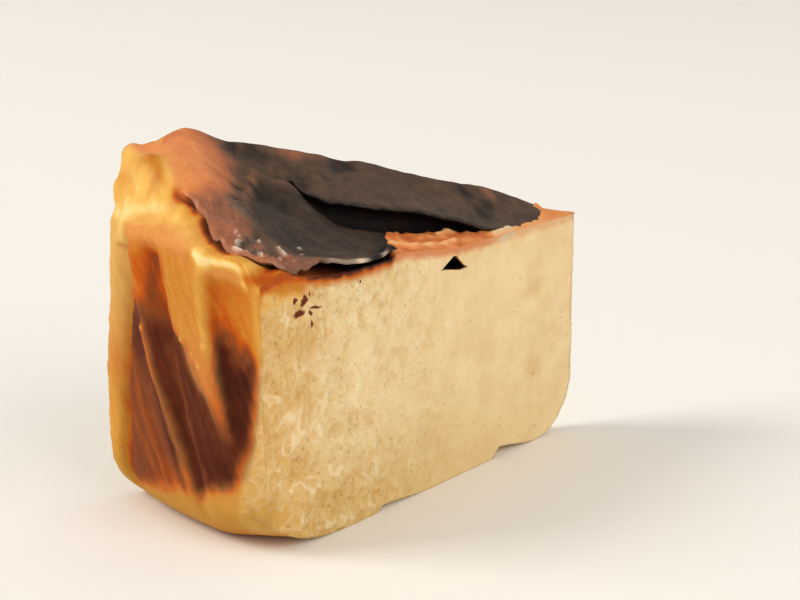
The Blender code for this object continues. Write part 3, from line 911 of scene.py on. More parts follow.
def makeBody(material):
    grid = dividedBox(body["cells"])
    layers = paintLayers(grid, "crust", "browning", "torn", "gloss", "crumb")
    spots = []
    for vert in grid.verts:
        a = ((1 - vert.co.x) / 2) ** body["crowding"]
        side, c = vert.co.y, (vert.co.z + 1) / 2
        along, height = bodyPoint(a, side, c)
        spots.append((a, side, c, along, height))
        vert.co = bodyPlace(along, side, height)
    grid.normal_update()
    normals = [vert.normal.copy() for vert in grid.verts]
    for vert, normal, spot in zip(grid.verts, normals, spots):
        paints = bodyPaint(vert.co, *spot)
        relief, crumb = bodyRelief(vert.co, *spot)
        vert.co += normal * relief
        vert.co.z = max(vert.co.z, 0)
        for layer, value in zip(layers, (*paints, crumb)):
            vert[layer] = value
    kinked = [vert for vert, spot in zip(grid.verts, spots) if inKink(*spot)]
    everyWay = {"use_axis_" + axis: True for axis in "xyz"}
    for step in range(body["kinkSteps"]):
        bmesh.ops.smooth_vert(grid, verts=kinked, factor=0.5, **everyWay)
    return finishMesh(grid, "cheesecakeBody", material, "cheesecake body")


pocket = {
    "outline": (                   # along and height, the air pocket's mouth in the near cut
        (47.4, 43.0), (45.7, 43.5), (44.5, 44.4), (43.3, 45.1), (42.3, 45.0), (41.2, 44.0), (39.9, 42.9),
        (38.1, 41.9), (40.6, 41.9), (43.0, 42.3), (45.2, 42.7),
    ),
    "middle": (43.0, 43.3),
    "depth": 4.0,
    "narrows": 0.55,               # size of its back, as a share of its mouth
    "standsOut": 2.0,              # how far the cutter stands out of the near cut
    "mouth": ((27, 4.4), (1.15, 0.95)),   # oval of painted shadow in the pocket: squares of its half-length and half-height, edge
    "paintedShadow": ((0.15, 0.4), (6, 5)),    # and from where to where behind the near cut
}


def cutPocket(piece):
    cutter = bmesh.new()
    rings = []
    middle = Vector(pocket["middle"])
    inward = Vector((-math.sin(cake["halfAngle"]), math.cos(cake["halfAngle"]), 0))
    for depth in (-pocket["standsOut"], 0.0, pocket["depth"]):
        shrink = blend(1, pocket["narrows"], max(depth, 0) / pocket["depth"])
        ring = []
        for spot in pocket["outline"]:
            along, height = middle + (Vector(spot) - middle) * shrink
            place = toWorld(along, -1, height) + inward * depth
            ring.append(cutter.verts.new((place + cake["point"]) * mm))
        rings.append(ring)
    for first, second in zip(rings, rings[1:]):
        for i, vert in enumerate(first):
            j = (i + 1) % len(first)
            cutter.faces.new((vert, first[j], second[j], second[i]))
    cutter.faces.new(rings[0])
    cutter.faces.new(rings[-1])
    bmesh.ops.recalc_face_normals(cutter, faces=cutter.faces)
    mesh = bpy.data.meshes.new("pocketCutter")
    cutter.to_mesh(mesh)
    cutter.free()
    tool = bpy.data.objects.new("pocketCutter", mesh)
    bpy.context.scene.collection.objects.link(tool)
    cut = piece.modifiers.new("airPocket", "BOOLEAN")
    cut.operation = "DIFFERENCE"
    cut.solver = "EXACT"
    cut.object = tool
    depsgraph = bpy.context.evaluated_depsgraph_get()
    whole = piece.data
    piece.data = bpy.data.meshes.new_from_object(piece.evaluated_get(depsgraph))
    piece.data.name = "cheesecakeBody"
    piece.modifiers.clear()
    bpy.data.meshes.remove(whole)
    bpy.data.objects.remove(tool)


sheetEdge = {                      # of both sheets, in mm
    "reach": 0.5,                  # how far in its top is rounded, and by how much
    "drop": 0.28,
    "bulge": 0.3,                  # how far the middle of the edge stands out
    "bulgeReach": 0.3,
}
frontSheet = {
    "cells": (140, 116, 4),
    "ends": (56.0, 98.0),          # rough places of the torn edge and the rim edge
    "tuckedIn": 3.5,               # how far it goes in under the slab
    "hiddenSide": 0.96,            # and there it stops short of the far cut
    "comesOut": ((62, 70), (74, 79)),   # along, where it passes the slab's lip, and reaches the far cut
    "groove": (1.4, 0.5, 2.2),     # below the slab's lip: depth, place and half-width
    "melts": (9, 4),               # from the rim edge, where its relief melts into the dome
    "calmEdge": (0.65, (0.3, 3.0)),   # relief that is left beside the rim edge, and how far in
    "lift": 0.9,                   # how far the torn edge at the rim has curled up
    "liftShare": (0.2, (-0.95, -0.7), (-0.05, -0.3)),   # least, then from where to where across
    "liftReach": 3.5,
    "liftWaves": (0.7, 0.9, 4, 23),   # mean, then height, size and seed
    "flapRise": 1.2,               # the flap beside the near cut
    "flap": ((1.0, 2.4), (1.2, 3.2)),   # place and half-width, from the torn edge and the near cut
    "nearRise": (                  # along, and how far the sheet's underside is above the near cut
        (58, -0.7), (64, -0.5), (70, -0.3), (75, 0.3), (80, 1.0), (84, 1.0), (87, 0.45), (90, -0.1),
        (94, -0.25), (98, 0.7),
    ),
    "droop": (0.8, 1.6, (86, 90)),   # of the edge over the near cut, beside the rim: depth, reach, along
    "overhang": (0.4, 0.5),        # past the near cut: at the torn edge, at the rim
    "ragged": (0.5, 0.5, 2.2, 25),   # of the overhang: mean, then height, size and seed
    "sink": (0.3, 4.5),            # the rim edge behind the middle dives into the shoulder: depth, reach
    "gloss": (0.05, 0.38),         # plain skin, crumpled fringe
    "under": 0.1,                  # how much darker its underside is
    "tornShade": (0.98, 0.8, (5, 1)),   # painted shade by the torn edge: tone, share, and how far in
    "footTone": (1.0, 0.8, (1.0, 0.4), (70, 68)),   # painted shade at the near cut below the flap: the same, and along
    "shade": (1.1, (-1.6, 0.4)),   # below the slab: tone, and from where to where behind its lip
    "glint": (0.75, 1.5),          # of the painted glints: strength and sharpness
    "paleHemHighlight": (0.3, (0.5, 0.1), (69, 71), (84, 80)),   # painted highlight along the near edge: strength, how far in, and where along
    "hemHighlightSpots": ((0.6, 72.2, 1.4), (0.45, 65.2, 0.9)),   # painted highlight spots on that edge: strength, along, half-width
}


def frontSpot(u, v):
    roughAlong = blend(*frontSheet["ends"], u)
    footSide = (lipAcross(roughAlong) + frontSheet["tuckedIn"]) / (roughAlong * cake["halfAngle"])
    pastLip, toFarCut = frontSheet["comesOut"]
    hidden = blend(frontSheet["hiddenSide"], 1, smooth(*toFarCut, roughAlong))
    farSide = blend(min(footSide, hidden), hidden, smooth(*pastLip, roughAlong))
    side = -1 + (farSide + 1) * v
    return blend(tornLine(side), rimEdge(side), u), side


def crowdEnds(t):  # more rows near both ends
    return t - 0.6 * math.sin(2 * math.pi * t) / (2 * math.pi)


def edgeDrop(distance):  # how far a sheet's top rounds down beside its edge
    t = min(max(distance / sheetEdge["reach"], 0), 1)
    return sheetEdge["drop"] * (1 - math.sqrt(1 - (1 - t) ** 2))


def edgeBulge(w):
    return sheetEdge["bulge"] * (1 - (2 * w - 1) ** 2)


def atEdge(distance):
    return smooth(sheetEdge["bulgeReach"], 0, distance)


def frontHeight(along, side, fromTorn, fromRim, fromNear, behind):  # of the sheet's top
    crisp, gape = crispRim(side), slabOpen(along)
    melted = (1 - crisp) * smooth(*frontSheet["melts"], fromRim)
    least, reach = frontSheet["calmEdge"]
    calm = (1 - gape * smooth(-3, 0, behind)) * (1 - melted) * blend(least, 1, smooth(*reach, fromRim))
    height = level(along, side) + skinRelief(along, side, False) * calm
    least, fromCut, fromMiddle = frontSheet["liftShare"]
    curl = smooth(*fromMiddle, side) * blend(least, 1, smooth(*fromCut, side))
    curl *= smooth(frontSheet["liftReach"], 0, fromRim)
    mean, high, size, seed = frontSheet["liftWaves"]
    wavy = mean + high * lump((along, side * halfChord, 0), size, seed)
    height += frontSheet["lift"] * crisp * curl * wavy
    depth, reach, span = frontSheet["droop"]
    height -= depth * smooth(reach, 0, fromNear) * smooth(*span, along)
    height += (between(frontSheet["nearRise"], along) + skin["thick"]) * smooth(7, 0, fromNear)
    (tornPlace, tornSpread), (nearPlace, nearSpread) = frontSheet["flap"]
    flap = bump(fromTorn - tornPlace, tornSpread) * bump(fromNear - nearPlace, nearSpread)
    depth, place, halfWidth = frontSheet["groove"]
    height += frontSheet["flapRise"] * flap - depth * gape * bump(behind - place, halfWidth)
    depth, reach = frontSheet["sink"]
    return height - depth * (1 - crisp) * smooth(reach, 0.5, fromRim)


def frontPaint(along, side, fromTorn, fromNear, shaded, w):  # browning with painted shade, gloss, and pale painted highlights
    value = skinTone(along, side) + frontSheet["under"] * (1 - w)
    tone, share, reach = frontSheet["tornShade"]
    value = blend(value, tone, share * smooth(*reach, fromTorn))
    tone, share, reach, span = frontSheet["footTone"]
    value = blend(value, tone, share * smooth(*reach, fromNear) * smooth(*span, along))
    strength, reach, start, end = frontSheet["paleHemHighlight"]
    hem = strength * smooth(*reach, fromNear) * smooth(*start, along) * smooth(*end, along)
    flat = flatPlace(along, side)
    strength, sharp = frontSheet["glint"]
    crest = strength * sum(onLine(flat, line, halfWidth) ** sharp for line, halfWidth, rise in glintLines)
    spots = sum(share * bump(along - spot, halfWidth) for share, spot, halfWidth in frontSheet["hemHighlightSpots"])
    gloss = blend(*frontSheet["gloss"], crumpled(along, side)) * (1 - shaded)
    return blend(value, frontSheet["shade"][0], shaded), gloss, crest + hem + spots * bump(fromNear, 0.5)


def makeFrontSheet(material):
    grid = dividedBox(frontSheet["cells"])
    layers = paintLayers(grid, "browning", "gloss", "pale")
    mean, high, size, seed = frontSheet["ragged"]
    for vert in grid.verts:
        u, v = (crowdEnds((n + 1) / 2) for n in vert.co.xy)
        w = (vert.co.z + 1) / 2
        along, side = frontSpot(u, v)
        long = rimEdge(side) - tornLine(side)
        fromTorn, fromRim = u * long, (1 - u) * long
        fromNear, behind = fromNearCut(along, side), behindLip(along, side)
        shaded = slabOpen(along) * smooth(*frontSheet["shade"][1], behind)
        height = frontHeight(along, side, fromTorn, fromRim, fromNear, behind)
        drop = edgeDrop(min(fromTorn, fromRim)) + edgeDrop(fromNear)
        height += blend(-skin["thick"] + drop, -drop, w)
        crisp, bulge = crispRim(side), edgeBulge(w)
        along += bulge * crisp * (atEdge(fromRim) - atEdge(fromTorn))
        if crisp < 1:
            top = level(along, side)
            rounded = roundEdges(along, height, side, shelfUnder(along, side, top), top)
            along, height = blend(along, rounded[0], 1 - crisp), blend(height, rounded[1], 1 - crisp)
            along += (1 - crisp) * wallShape(along, side, height)
        place = toWorld(along, side, height)
        ragged = mean + high * lump((along, 0, 0), size, seed)
        overhang = blend(*frontSheet["overhang"], smooth(58, 72, along)) * ragged
        place.y -= (overhang + bulge) * smooth(1.2, 0, fromNear)
        vert.co = place
        for layer, value in zip(layers, frontPaint(along, side, fromTorn, fromNear, shaded, w)):
            vert[layer] = value
    bmesh.ops.recalc_face_normals(grid, faces=grid.faces)
    return finishMesh(grid, "burntSkinFront", material, "front sheet of the skin")


slabSheet = {
    "cells": (150, 56, 4),
    "crowding": 1.3,               # above 1, the rows stand closer towards the lip
    "lipRough": ((0.35, 2.4, 13), (0.2, 1.0, 15)),   # height, size and seed
    "tipRough": (0.6, 3.3, 17),    # height, waves across, seed
    "lipRise": (0.25, 1.5),        # height and half-width
    "sink": (1.3, 76),             # its rim end dives into the fringe: depth, and from where
    "gloss": 0.1,
    "under": 0.3,                  # how much darker its underside is
}


def slabSpot(u, v):
    along = blend(*skin["slabEnds"], u)
    across = lipAcross(along) + lumps((along, 0, 0), slabSheet["lipRough"])
    side = across / (along * cake["halfAngle"])
    high, waves, seed = slabSheet["tipRough"]
    end = high * lump((v * waves, 0, 0), 1, seed) * (1 - smooth(0, 0.1, u))
    return along + end, side + (1 - side) * v


def makeSlabSheet(material):
    grid = dividedBox(slabSheet["cells"])
    browning, gloss = paintLayers(grid, "browning", "gloss")
    start, end = skin["slabEnds"]
    high, spread = slabSheet["lipRise"]
    depth, sinkFrom = slabSheet["sink"]
    for vert in grid.verts:
        u, v, w = ((n + 1) / 2 for n in vert.co)
        along, side = slabSpot(u, v ** slabSheet["crowding"])
        fromLip, fromTip = behindLip(along, side), along - start
        height = level(along, side) + skin["lift"] * slabOpen(along) + skinRelief(along, side, True)
        height += high * bump(fromLip, spread) * slabOpen(along)
        height -= depth * smooth(sinkFrom, end, along)
        drop = edgeDrop(min(fromLip, fromTip))
        height += blend(-skin["thick"] + drop, -drop, w)
        bulge = edgeBulge(w)
        along -= bulge * atEdge(fromTip)
        place = toWorld(along, side, height)
        place.y -= bulge * atEdge(fromLip)
        vert.co = place
        vert[browning] = skinTone(along, side) + slabSheet["under"] * (1 - w)
        vert[gloss] = slabSheet["gloss"] * w
    bmesh.ops.recalc_face_normals(grid, faces=grid.faces)
    return finishMesh(grid, "burntSkinSlab", material, "lifted slab of the skin")


def paint(red, green, blue):  # a colour as a screen shows it, turned to the shader's scale
    shown = [n / 255 for n in (red, green, blue)]
    return tuple(n / 12.92 if n < 0.0405 else ((n + 0.055) / 1.055) ** 2.4 for n in shown) + (1,)


def fill(node, sockets):
    for name, value in sockets.items():
        if isinstance(value, Wire):
            value.tree.links.new(value.socket, node.inputs[name])
        else:
            node.inputs[name].default_value = value


class Wire:
    def __init__(self, tree, socket=None):
        self.tree = tree
        self.socket = socket

    def node(self, kind, settings, inputs, output=0):
        made = self.tree.nodes.new(kind)
        for name, value in settings.items():
            if name == "stops":
                ramp = made.color_ramp.elements
                while len(ramp) < len(value):
                    ramp.new(1)
                for stop, (place, colour) in zip(ramp, value):
                    stop.position = place
                    stop.color = colour
            else:
                setattr(made, name, value)
        fill(made, inputs)
        return Wire(self.tree, made.outputs[output] if len(made.outputs) else None)

    def other(self, output):  # another output of the same node
        return Wire(self.tree, self.socket.node.outputs[output])

    def maths(self, operation, first, second):
        return self.node("ShaderNodeMath", {"operation": operation}, {0: first, 1: second})

    def __add__(self, value):
        return self.maths("ADD", self, value)

    def __sub__(self, value):
        return self.maths("SUBTRACT", self, value)

    def __rsub__(self, value):
        return self.maths("SUBTRACT", value, self)

    def __mul__(self, value):
        return self.maths("MULTIPLY", self, value)

    def __truediv__(self, value):
        return self.maths("DIVIDE", self, value)

    def __pow__(self, value):
        return self.maths("POWER", self, value)

    __radd__ = __add__
    __rmul__ = __mul__

    def fade(self, low, high):  # 0 to 1 as the value goes from low to high, either way round
        ends = {"Value": self, "From Min": min(low, high), "From Max": max(low, high)}
        rising = self.node("ShaderNodeMapRange", {"interpolation_type": "SMOOTHSTEP"}, ends)
        return rising if low < high else 1 - rising

    def tint(self, first, second):  # from the first colour to the second by this mask
        settings = {"data_type": "RGBA", "clamp_factor": True}
        first, second = (paint(*end) if isinstance(end, tuple) else end for end in (first, second))
        return self.node("ShaderNodeMix", settings, {0: self, 6: first, 7: second}, 2)

    def ramp(self, stops):
        stops = [(place, paint(*colour)) for place, *colour in stops]
        return self.node("ShaderNodeValToRGB", {"stops": stops}, {0: self})

    def noise(self, size, detail, rough):
        inputs = {"Vector": self, "Scale": 1 / size, "Detail": detail, "Roughness": rough}
        return self.node("ShaderNodeTexNoise", {}, inputs)

    def axes(self):
        return [self.node("ShaderNodeSeparateXYZ", {}, {0: self}, n) for n in range(3)]

    def join(self, x, y, z=0.0):
        return self.node("ShaderNodeCombineXYZ", {}, {0: x, 1: y, 2: z})

    def attribute(self, name):
        return self.node("ShaderNodeAttribute", {"attribute_name": name}, {}, "Fac")


def startMaterial(name):
    material = bpy.data.materials.new(name)
    material.use_nodes = True
    tree = material.node_tree
    start = Wire(tree)
    coords = start.node("ShaderNodeTexCoord", {}, {}, "Object")
    moved = {"Vector": coords, "Location": -cake["point"], "Scale": (1 / mm,) * 3}
    return material, tree.nodes["Principled BSDF"], start, start.node("ShaderNodeMapping", {}, moved)


bumpDepth = 0.6 * mm
# At browning 1 each ramp ends near black: painted shadow for the crevice and the gaps under the skin
wallPaint = (                      # browning, and its red, green and blue as a screen shows them
    (0.0, 248, 220, 154), (0.1, 238, 188, 94), (0.2, 226, 165, 74), (0.3, 210, 148, 60),
    (0.4, 198, 123, 36), (0.5, 194, 86, 17), (0.6, 150, 72, 26), (0.7, 118, 60, 28),
    (0.8, 90, 38, 17), (0.9, 66, 24, 10), (1.0, 14, 8, 7),
)
bandPaint = (
    (0.0, 214, 196, 158), (0.12, 238, 184, 130), (0.3, 230, 152, 88), (0.5, 210, 118, 60),
    (0.75, 182, 88, 42), (0.95, 110, 48, 26), (1.0, 14, 8, 7),
)
skinPaint = (
    (0.0, 252, 234, 214), (0.12, 236, 184, 146), (0.3, 228, 148, 88), (0.4, 220, 134, 78),
    (0.5, 190, 112, 70), (0.6, 160, 98, 67), (0.7, 124, 82, 60), (0.8, 88, 67, 51),
    (0.9, 60, 46, 37), (1.0, 28, 22, 21),
)

# Marks in the near cut: reddish brown specks, pale scraps and brownish smudges, as
# (along, height, half-length, half-width, tilt in degrees)
marks = {
    "specks": (
        (91.2, 46.0, 0.8, 0.35, 70), (88.6, 45.6, 1.1, 0.75, 105), (86.6, 46.5, 0.6, 0.3, 110),
        (89.7, 43.5, 1.5, 0.75, 170), (84.9, 43.7, 1.7, 0.3, 10), (86.5, 43.0, 0.7, 0.45, 40),
        (85.6, 40.9, 0.8, 0.35, 70), (72.5, 45.8, 0.25, 0.25, 0),
    ),
    "scraps": ((25.6, 45.5, 2.2, 0.7, 172), (22.8, 45.9, 1.0, 0.4, 10)),
    "smudges": ((14.5, 33.0, 4.5, 1.4, 165), (15.0, 16.0, 2.5, 2.0, 0), (66.0, 40.0, 1.6, 0.6, 60)),
}


def spotMask(face, spots, soft):  # 1 inside any of the tilted ovals
    mask = None
    for along, height, halfLong, halfWide, tilt in spots:
        turned = {
            "Vector": face, "Location": (along, height, 0), "Rotation": (0, 0, math.radians(tilt)),
            "Scale": (halfLong, halfWide, 1),
        }
        inner = face.node("ShaderNodeMapping", {"vector_type": "TEXTURE"}, turned)
        away = inner.node("ShaderNodeVectorMath", {"operation": "LENGTH"}, {0: inner}, "Value")
        oval = away.fade(1 + soft, 1 - soft)
        mask = oval if mask is None else mask.maths("MAXIMUM", mask, oval)
    return mask


curd = {                           # colours of the cut faces, each with its share and its mask's ends
    "plain": ((239, 213, 165), (230, 200, 149)),
    "mottled": (0.35, 0.68),
    "outer": ((226, 192, 130), 0.5, (58, 96)),   # share, and from where to where along
    "lowLeft": ((206, 166, 84), (22, 2), (10, 85)),   # darker and more golden towards the bottom, partly the baked bottom's colour and partly painted shade: from where to where in height and along
    "atRim": ((212, 164, 84), 0.72, (79, 97)),
    "relief": (                    # painted shade in its hollows and painted highlight on its crests: ends, share by the rim, least
        ((203, 158, 84), (-0.05, -0.5), 0.45, 0.12), ((249, 230, 188), (0.1, 0.5), 0.4, 0.15),
    ),
    # painted shade in the curds' low parts and painted highlight on their ridges, as for the relief
    "curds": (((200, 152, 78), (0.4, 0.1), 0.22), ((250, 232, 192), (0.55, 0.95), 0.17)),
    "grains": ((212, 176, 116), (0.55, 0.75), 0.2),
    "cracks": ((150, 112, 56), (0.6, 0.68), 0.5),
    "cracked": ((78, 44.5), (60, 14), (1.4, 0.5)),   # an oval: middle, squares of its reach, soft edge
    "foot": ((184, 138, 56), 0.55, (14, 6)),   # painted shade near the floor, olive, at the wall's foot: share, from where to where in height
    "smudges": ((206, 156, 92), 0.8, 0.3),   # softness and share
    "scraps": ((206, 192, 164), 0.5, 0.7),
    "specks": ((104, 42, 20), 0.3),
    # near black painted shadow inside the air pocket
    "pocket": (16, 9, 8),
    "nearFace": (2.2, 1.4),        # mm behind the near cut, where its marks end
    "rough": 0.72,
    "smoother": 0.35,              # where it is glossy
    "coat": 0.3,
    "bump": 0.5,
    "bumpShares": (0.4, 0.15, 0.8),   # lumps, pores, curds
}
curdNoise = {                      # size in mm, detail and roughness
    "mottled": (7.0, 4, 0.6),
    "grains": (0.9, 3, 0.6),
    "warp": (1.6, 2, 0.5),
    "cracks": (0.9, 2, 0.5),
    "blotches": (2.4, 4, 0.6),
    "folds": (0.9, 3, 0.6),
    "bumps": (0.9, 4, 0.65),
    "pores": (0.35, 2, 0.5),
}
curdRidges = {
    "bend": {"Scale": 0.4, "Detail": 2.0},
    "bendReach": 3.0,              # mm
    "ridges": {"Scale": 0.5, "Detail": 2.0, "Roughness": 0.5, "Offset": 0.9, "Gain": 1.4},
}


def makeCurds(place):  # ridged curds in a bent space
    bend = place.node("ShaderNodeTexNoise", {}, {"Vector": place, **curdRidges["bend"]}, 1)
    inputs = {0: bend, 1: (curdRidges["bendReach"],) * 3, 2: place}
    bent = place.node("ShaderNodeVectorMath", {"operation": "MULTIPLY_ADD"}, inputs)
    settings = {"noise_type": "RIDGED_MULTIFRACTAL", "normalize": True}
    return bent.node("ShaderNodeTexNoise", settings, {"Vector": bent, **curdRidges["ridges"]})


def ovalReach(along, z, middle, squares):  # 0 in the middle, 1 on the oval
    return (along - middle[0]) ** 2 / squares[0] + (z - middle[1]) ** 2 / squares[1]


def makeCheese():
    material, shader, start, place = startMaterial("bakedCheese")
    x, y, z = place.axes()
    along = (x * x + y * y) ** 0.5
    crust, browning, torn, gloss, crumb = (
        start.attribute(name) for name in ("crust", "browning", "torn", "gloss", "crumb")
    )
    fromNear = x * -math.sin(cake["halfAngle"]) + y * math.cos(cake["halfAngle"])

    mottled = place.noise(*curdNoise["mottled"])
    grains = place.noise(*curdNoise["grains"])
    curds = makeCurds(place)
    crumbly = (along.fade(26, 70) * 0.8 + 0.2) * crust.fade(0.4, 0)
    toRim = along.fade(40, 92)
    cut = mottled.fade(*curd["mottled"]).tint(*curd["plain"])
    colour, share, span = curd["outer"]
    cut = (along.fade(*span) * share).tint(cut, colour)
    colour, heights, span = curd["lowLeft"]
    lowLeft = (z + mottled * 14 - 7).fade(*heights) * (along.fade(*span) * 0.7 + 0.1)
    cut = lowLeft.tint(cut, colour)
    colour, share, span = curd["atRim"]
    cut = ((along + mottled * 10 - 5).fade(*span) * share).tint(cut, colour)
    # painted shade in the hollows and painted highlight on the crests of the cut's relief
    for colour, ends, byRim, least in curd["relief"]:
        cut = (crumb.fade(*ends) * (toRim * byRim + least)).tint(cut, colour)
    for colour, ends, share in curd["curds"]:
        cut = (curds.fade(*ends) * crumbly * share).tint(cut, colour)
    colour, ends, share = curd["grains"]
    cut = (grains.fade(*ends) * share).tint(cut, colour)

    warp = place.noise(*curdNoise["warp"]) - 0.5
    face = start.join(along + warp * 1.6, z - warp * 1.2)
    nearFace = fromNear.fade(*curd["nearFace"])
    colour, soft, share = curd["smudges"]
    cut = (spotMask(face, marks["smudges"], soft) * nearFace * share).tint(cut, colour)
    colour, ends, share = curd["cracks"]
    middle, squares, edge = curd["cracked"]
    cracks = face.noise(*curdNoise["cracks"]).fade(*ends)
    cracks = cracks * ovalReach(along, z, middle, squares).fade(*edge)
    cut = (cracks * nearFace * share).tint(cut, colour)

    alongFolds = start.join(x, y - z * 0.5, z * 0.16)
    tone = browning + (place.noise(*curdNoise["blotches"]) - 0.5) * 0.1
    tone = tone + (alongFolds.noise(*curdNoise["folds"]) - 0.5) * 0.12
    baked = torn.tint(tone.ramp(wallPaint), tone.ramp(bandPaint))
    whole = crust.tint(cut, baked)
    colour, share, heights = curd["foot"]
    foot = (z + mottled * 6 - 3).fade(*heights) * along.fade(92, 97) * browning.fade(0.6, 0.4)
    whole = (foot * share).tint(whole, colour)
    colour, soft, share = curd["scraps"]
    whole = (spotMask(face, marks["scraps"], soft) * nearFace * share).tint(whole, colour)
    colour, soft = curd["specks"]
    whole = (spotMask(face, marks["specks"], soft) * nearFace).tint(whole, colour)
    # painted shadow in the air pocket's mouth
    squares, edge = pocket["mouth"]
    mouth = ovalReach(along, z, pocket["middle"], squares).fade(*edge)
    begins, ends = pocket["paintedShadow"]
    whole = (fromNear.fade(*begins) * fromNear.fade(*ends) * mouth).tint(whole, curd["pocket"])

    ofLumps, ofPores, ofCurds = curd["bumpShares"]
    height = place.noise(*curdNoise["bumps"]) * ofLumps + place.noise(*curdNoise["pores"]) * ofPores
    height = height + curds * crumbly * ofCurds
    inputs = {"Strength": curd["bump"], "Distance": bumpDepth, "Height": height}
    bumps = start.node("ShaderNodeBump", {}, inputs)
    rough = curd["rough"] - gloss * curd["smoother"]
    fill(shader, {
        "Base Color": whole, "Roughness": rough, "Specular IOR Level": 0.08, "Normal": bumps,
        "Coat Weight": gloss * curd["coat"], "Coat Roughness": 0.25, "Subsurface Weight": 0.12,
        "Subsurface Radius": (1.0, 0.6, 0.35), "Subsurface Scale": 0.0015,
    })
    return material


burntSkin = {                      # noises have size in mm, detail, roughness, then strength
    "tones": ((3.2, 5, 0.62, 0.12), (0.8, 3, 0.6, 0.06)),
    "relief": ((2.2, 5, 0.6, 1.0), (0.6, 3, 0.6, 0.35)),   # folds, pits
    "bump": 0.45,
    "rough": 0.55,
    "smoother": 0.25,              # where it is glossy
    "roughPatches": (5, 3, 0.5, 0.2),
    # colour of the painted highlights: the glints and the near edge's line and spots
    "pale": (240, 218, 196),
    "coatIor": 1.55,
    "coatRough": 0.08,
}


def makeSkinMaterial():
    material, shader, start, place = startMaterial("burntSkin")
    tone = start.attribute("browning")
    gloss = start.attribute("gloss")
    for *kind, strength in burntSkin["tones"]:
        tone = tone + (place.noise(*kind) - 0.5) * strength
    # the pale attribute paints highlights over the skin's colour
    colour = start.attribute("pale").tint(tone.ramp(skinPaint), burntSkin["pale"])
    folds, pits = (place.noise(*kind) * strength for *kind, strength in burntSkin["relief"])
    inputs = {"Strength": burntSkin["bump"], "Distance": bumpDepth, "Height": folds + pits}
    bumps = start.node("ShaderNodeBump", {}, inputs)
    *kind, strength = burntSkin["roughPatches"]
    rough = burntSkin["rough"] - gloss * burntSkin["smoother"] + (place.noise(*kind) - 0.5) * strength
    fill(shader, {
        "Base Color": colour, "Roughness": rough, "Specular IOR Level": 0.15, "Coat Weight": gloss,
        "Coat IOR": burntSkin["coatIor"], "Coat Roughness": burntSkin["coatRough"], "Normal": bumps,
    })
    return material


crumbs = {
    "size": 0.26,                  # mm, mean radius
    "flat": 0.7,
    "density": 0.14,               # for each square millimetre of the crumbliest cut face
    "seed": 7,
    "uneven": (1.3, 0.8),          # scale of a crumb's lumps, and how far they stand out or in
    "random": ((0.4, 1.5, 3), (0.0, 6.28, 5), (0.6, 1.3, 9)),   # size, turn, stretch: low, high, seed
    "least": 0.1,                  # share towards the tip, and where it grows towards the rim
    "towardsRim": (-40, -75),
    "heights": ((0.5, 2), (49, 46)),   # where they begin above the foot, and end below the top
    "nearReach": 1.0,              # mm beside the near cut's plane
}


def makeCrumbTree(material):
    tree = bpy.data.node_groups.new("crumbScatter", "GeometryNodeTree")
    for name, kind in (("Bed", "Geometry"), ("Size", "Float"), ("Density", "Float"), ("Seed", "Int")):
        tree.interface.new_socket(name, in_out="INPUT", socket_type="NodeSocket" + kind)
    tree.interface.new_socket("Crumbs", in_out="OUTPUT", socket_type="NodeSocketGeometry")
    start = Wire(tree)
    bed = start.node("NodeGroupInput", {}, {}, "Bed")
    where = start.node("GeometryNodeInputNamedAttribute", {"data_type": "FLOAT"}, {"Name": "crumbly"})
    inputs = {"Mesh": bed, "Density": where * bed.other("Density"), "Seed": bed.other("Seed")}
    points = start.node("GeometryNodeDistributePointsOnFaces", {}, inputs, "Points")
    ball = start.node("GeometryNodeMeshIcoSphere", {}, {"Radius": 1.0, "Subdivisions": 1})
    scale, high = crumbs["uneven"]
    bumpy = start.node("ShaderNodeTexNoise", {}, {"Scale": scale, "Detail": 1.0}, 1)
    inputs = {0: bumpy, 1: (2 * high,) * 3, 2: (-high,) * 3}
    offset = start.node("ShaderNodeVectorMath", {"operation": "MULTIPLY_ADD"}, inputs)
    crumb = start.node("GeometryNodeSetPosition", {}, {"Geometry": ball, "Offset": offset})
    size, turn, stretch = (
        start.node("FunctionNodeRandomValue", {"data_type": "FLOAT"}, {2: low, 3: high, "Seed": seed}, 1)
        for low, high, seed in crumbs["random"]
    )
    size = size * bed.other("Size")
    inputs = {
        "Points": points, "Instance": crumb, "Rotation": points.other("Rotation"),
        "Scale": start.join(size, size * stretch, size * crumbs["flat"]),
    }
    placed = start.node("GeometryNodeInstanceOnPoints", {}, inputs)
    inputs = {"Instances": placed, "Rotation": start.join(0, 0, turn)}
    turned = start.node("GeometryNodeRotateInstances", {}, inputs)
    real = start.node("GeometryNodeRealizeInstances", {}, {"Geometry": turned})
    shaded = start.node("GeometryNodeSetMaterial", {}, {"Geometry": real, "Material": material})
    smoothed = start.node("GeometryNodeSetShadeSmooth", {}, {"Geometry": shaded})
    start.node("NodeGroupOutput", {}, {"Crumbs": smoothed})
    return tree


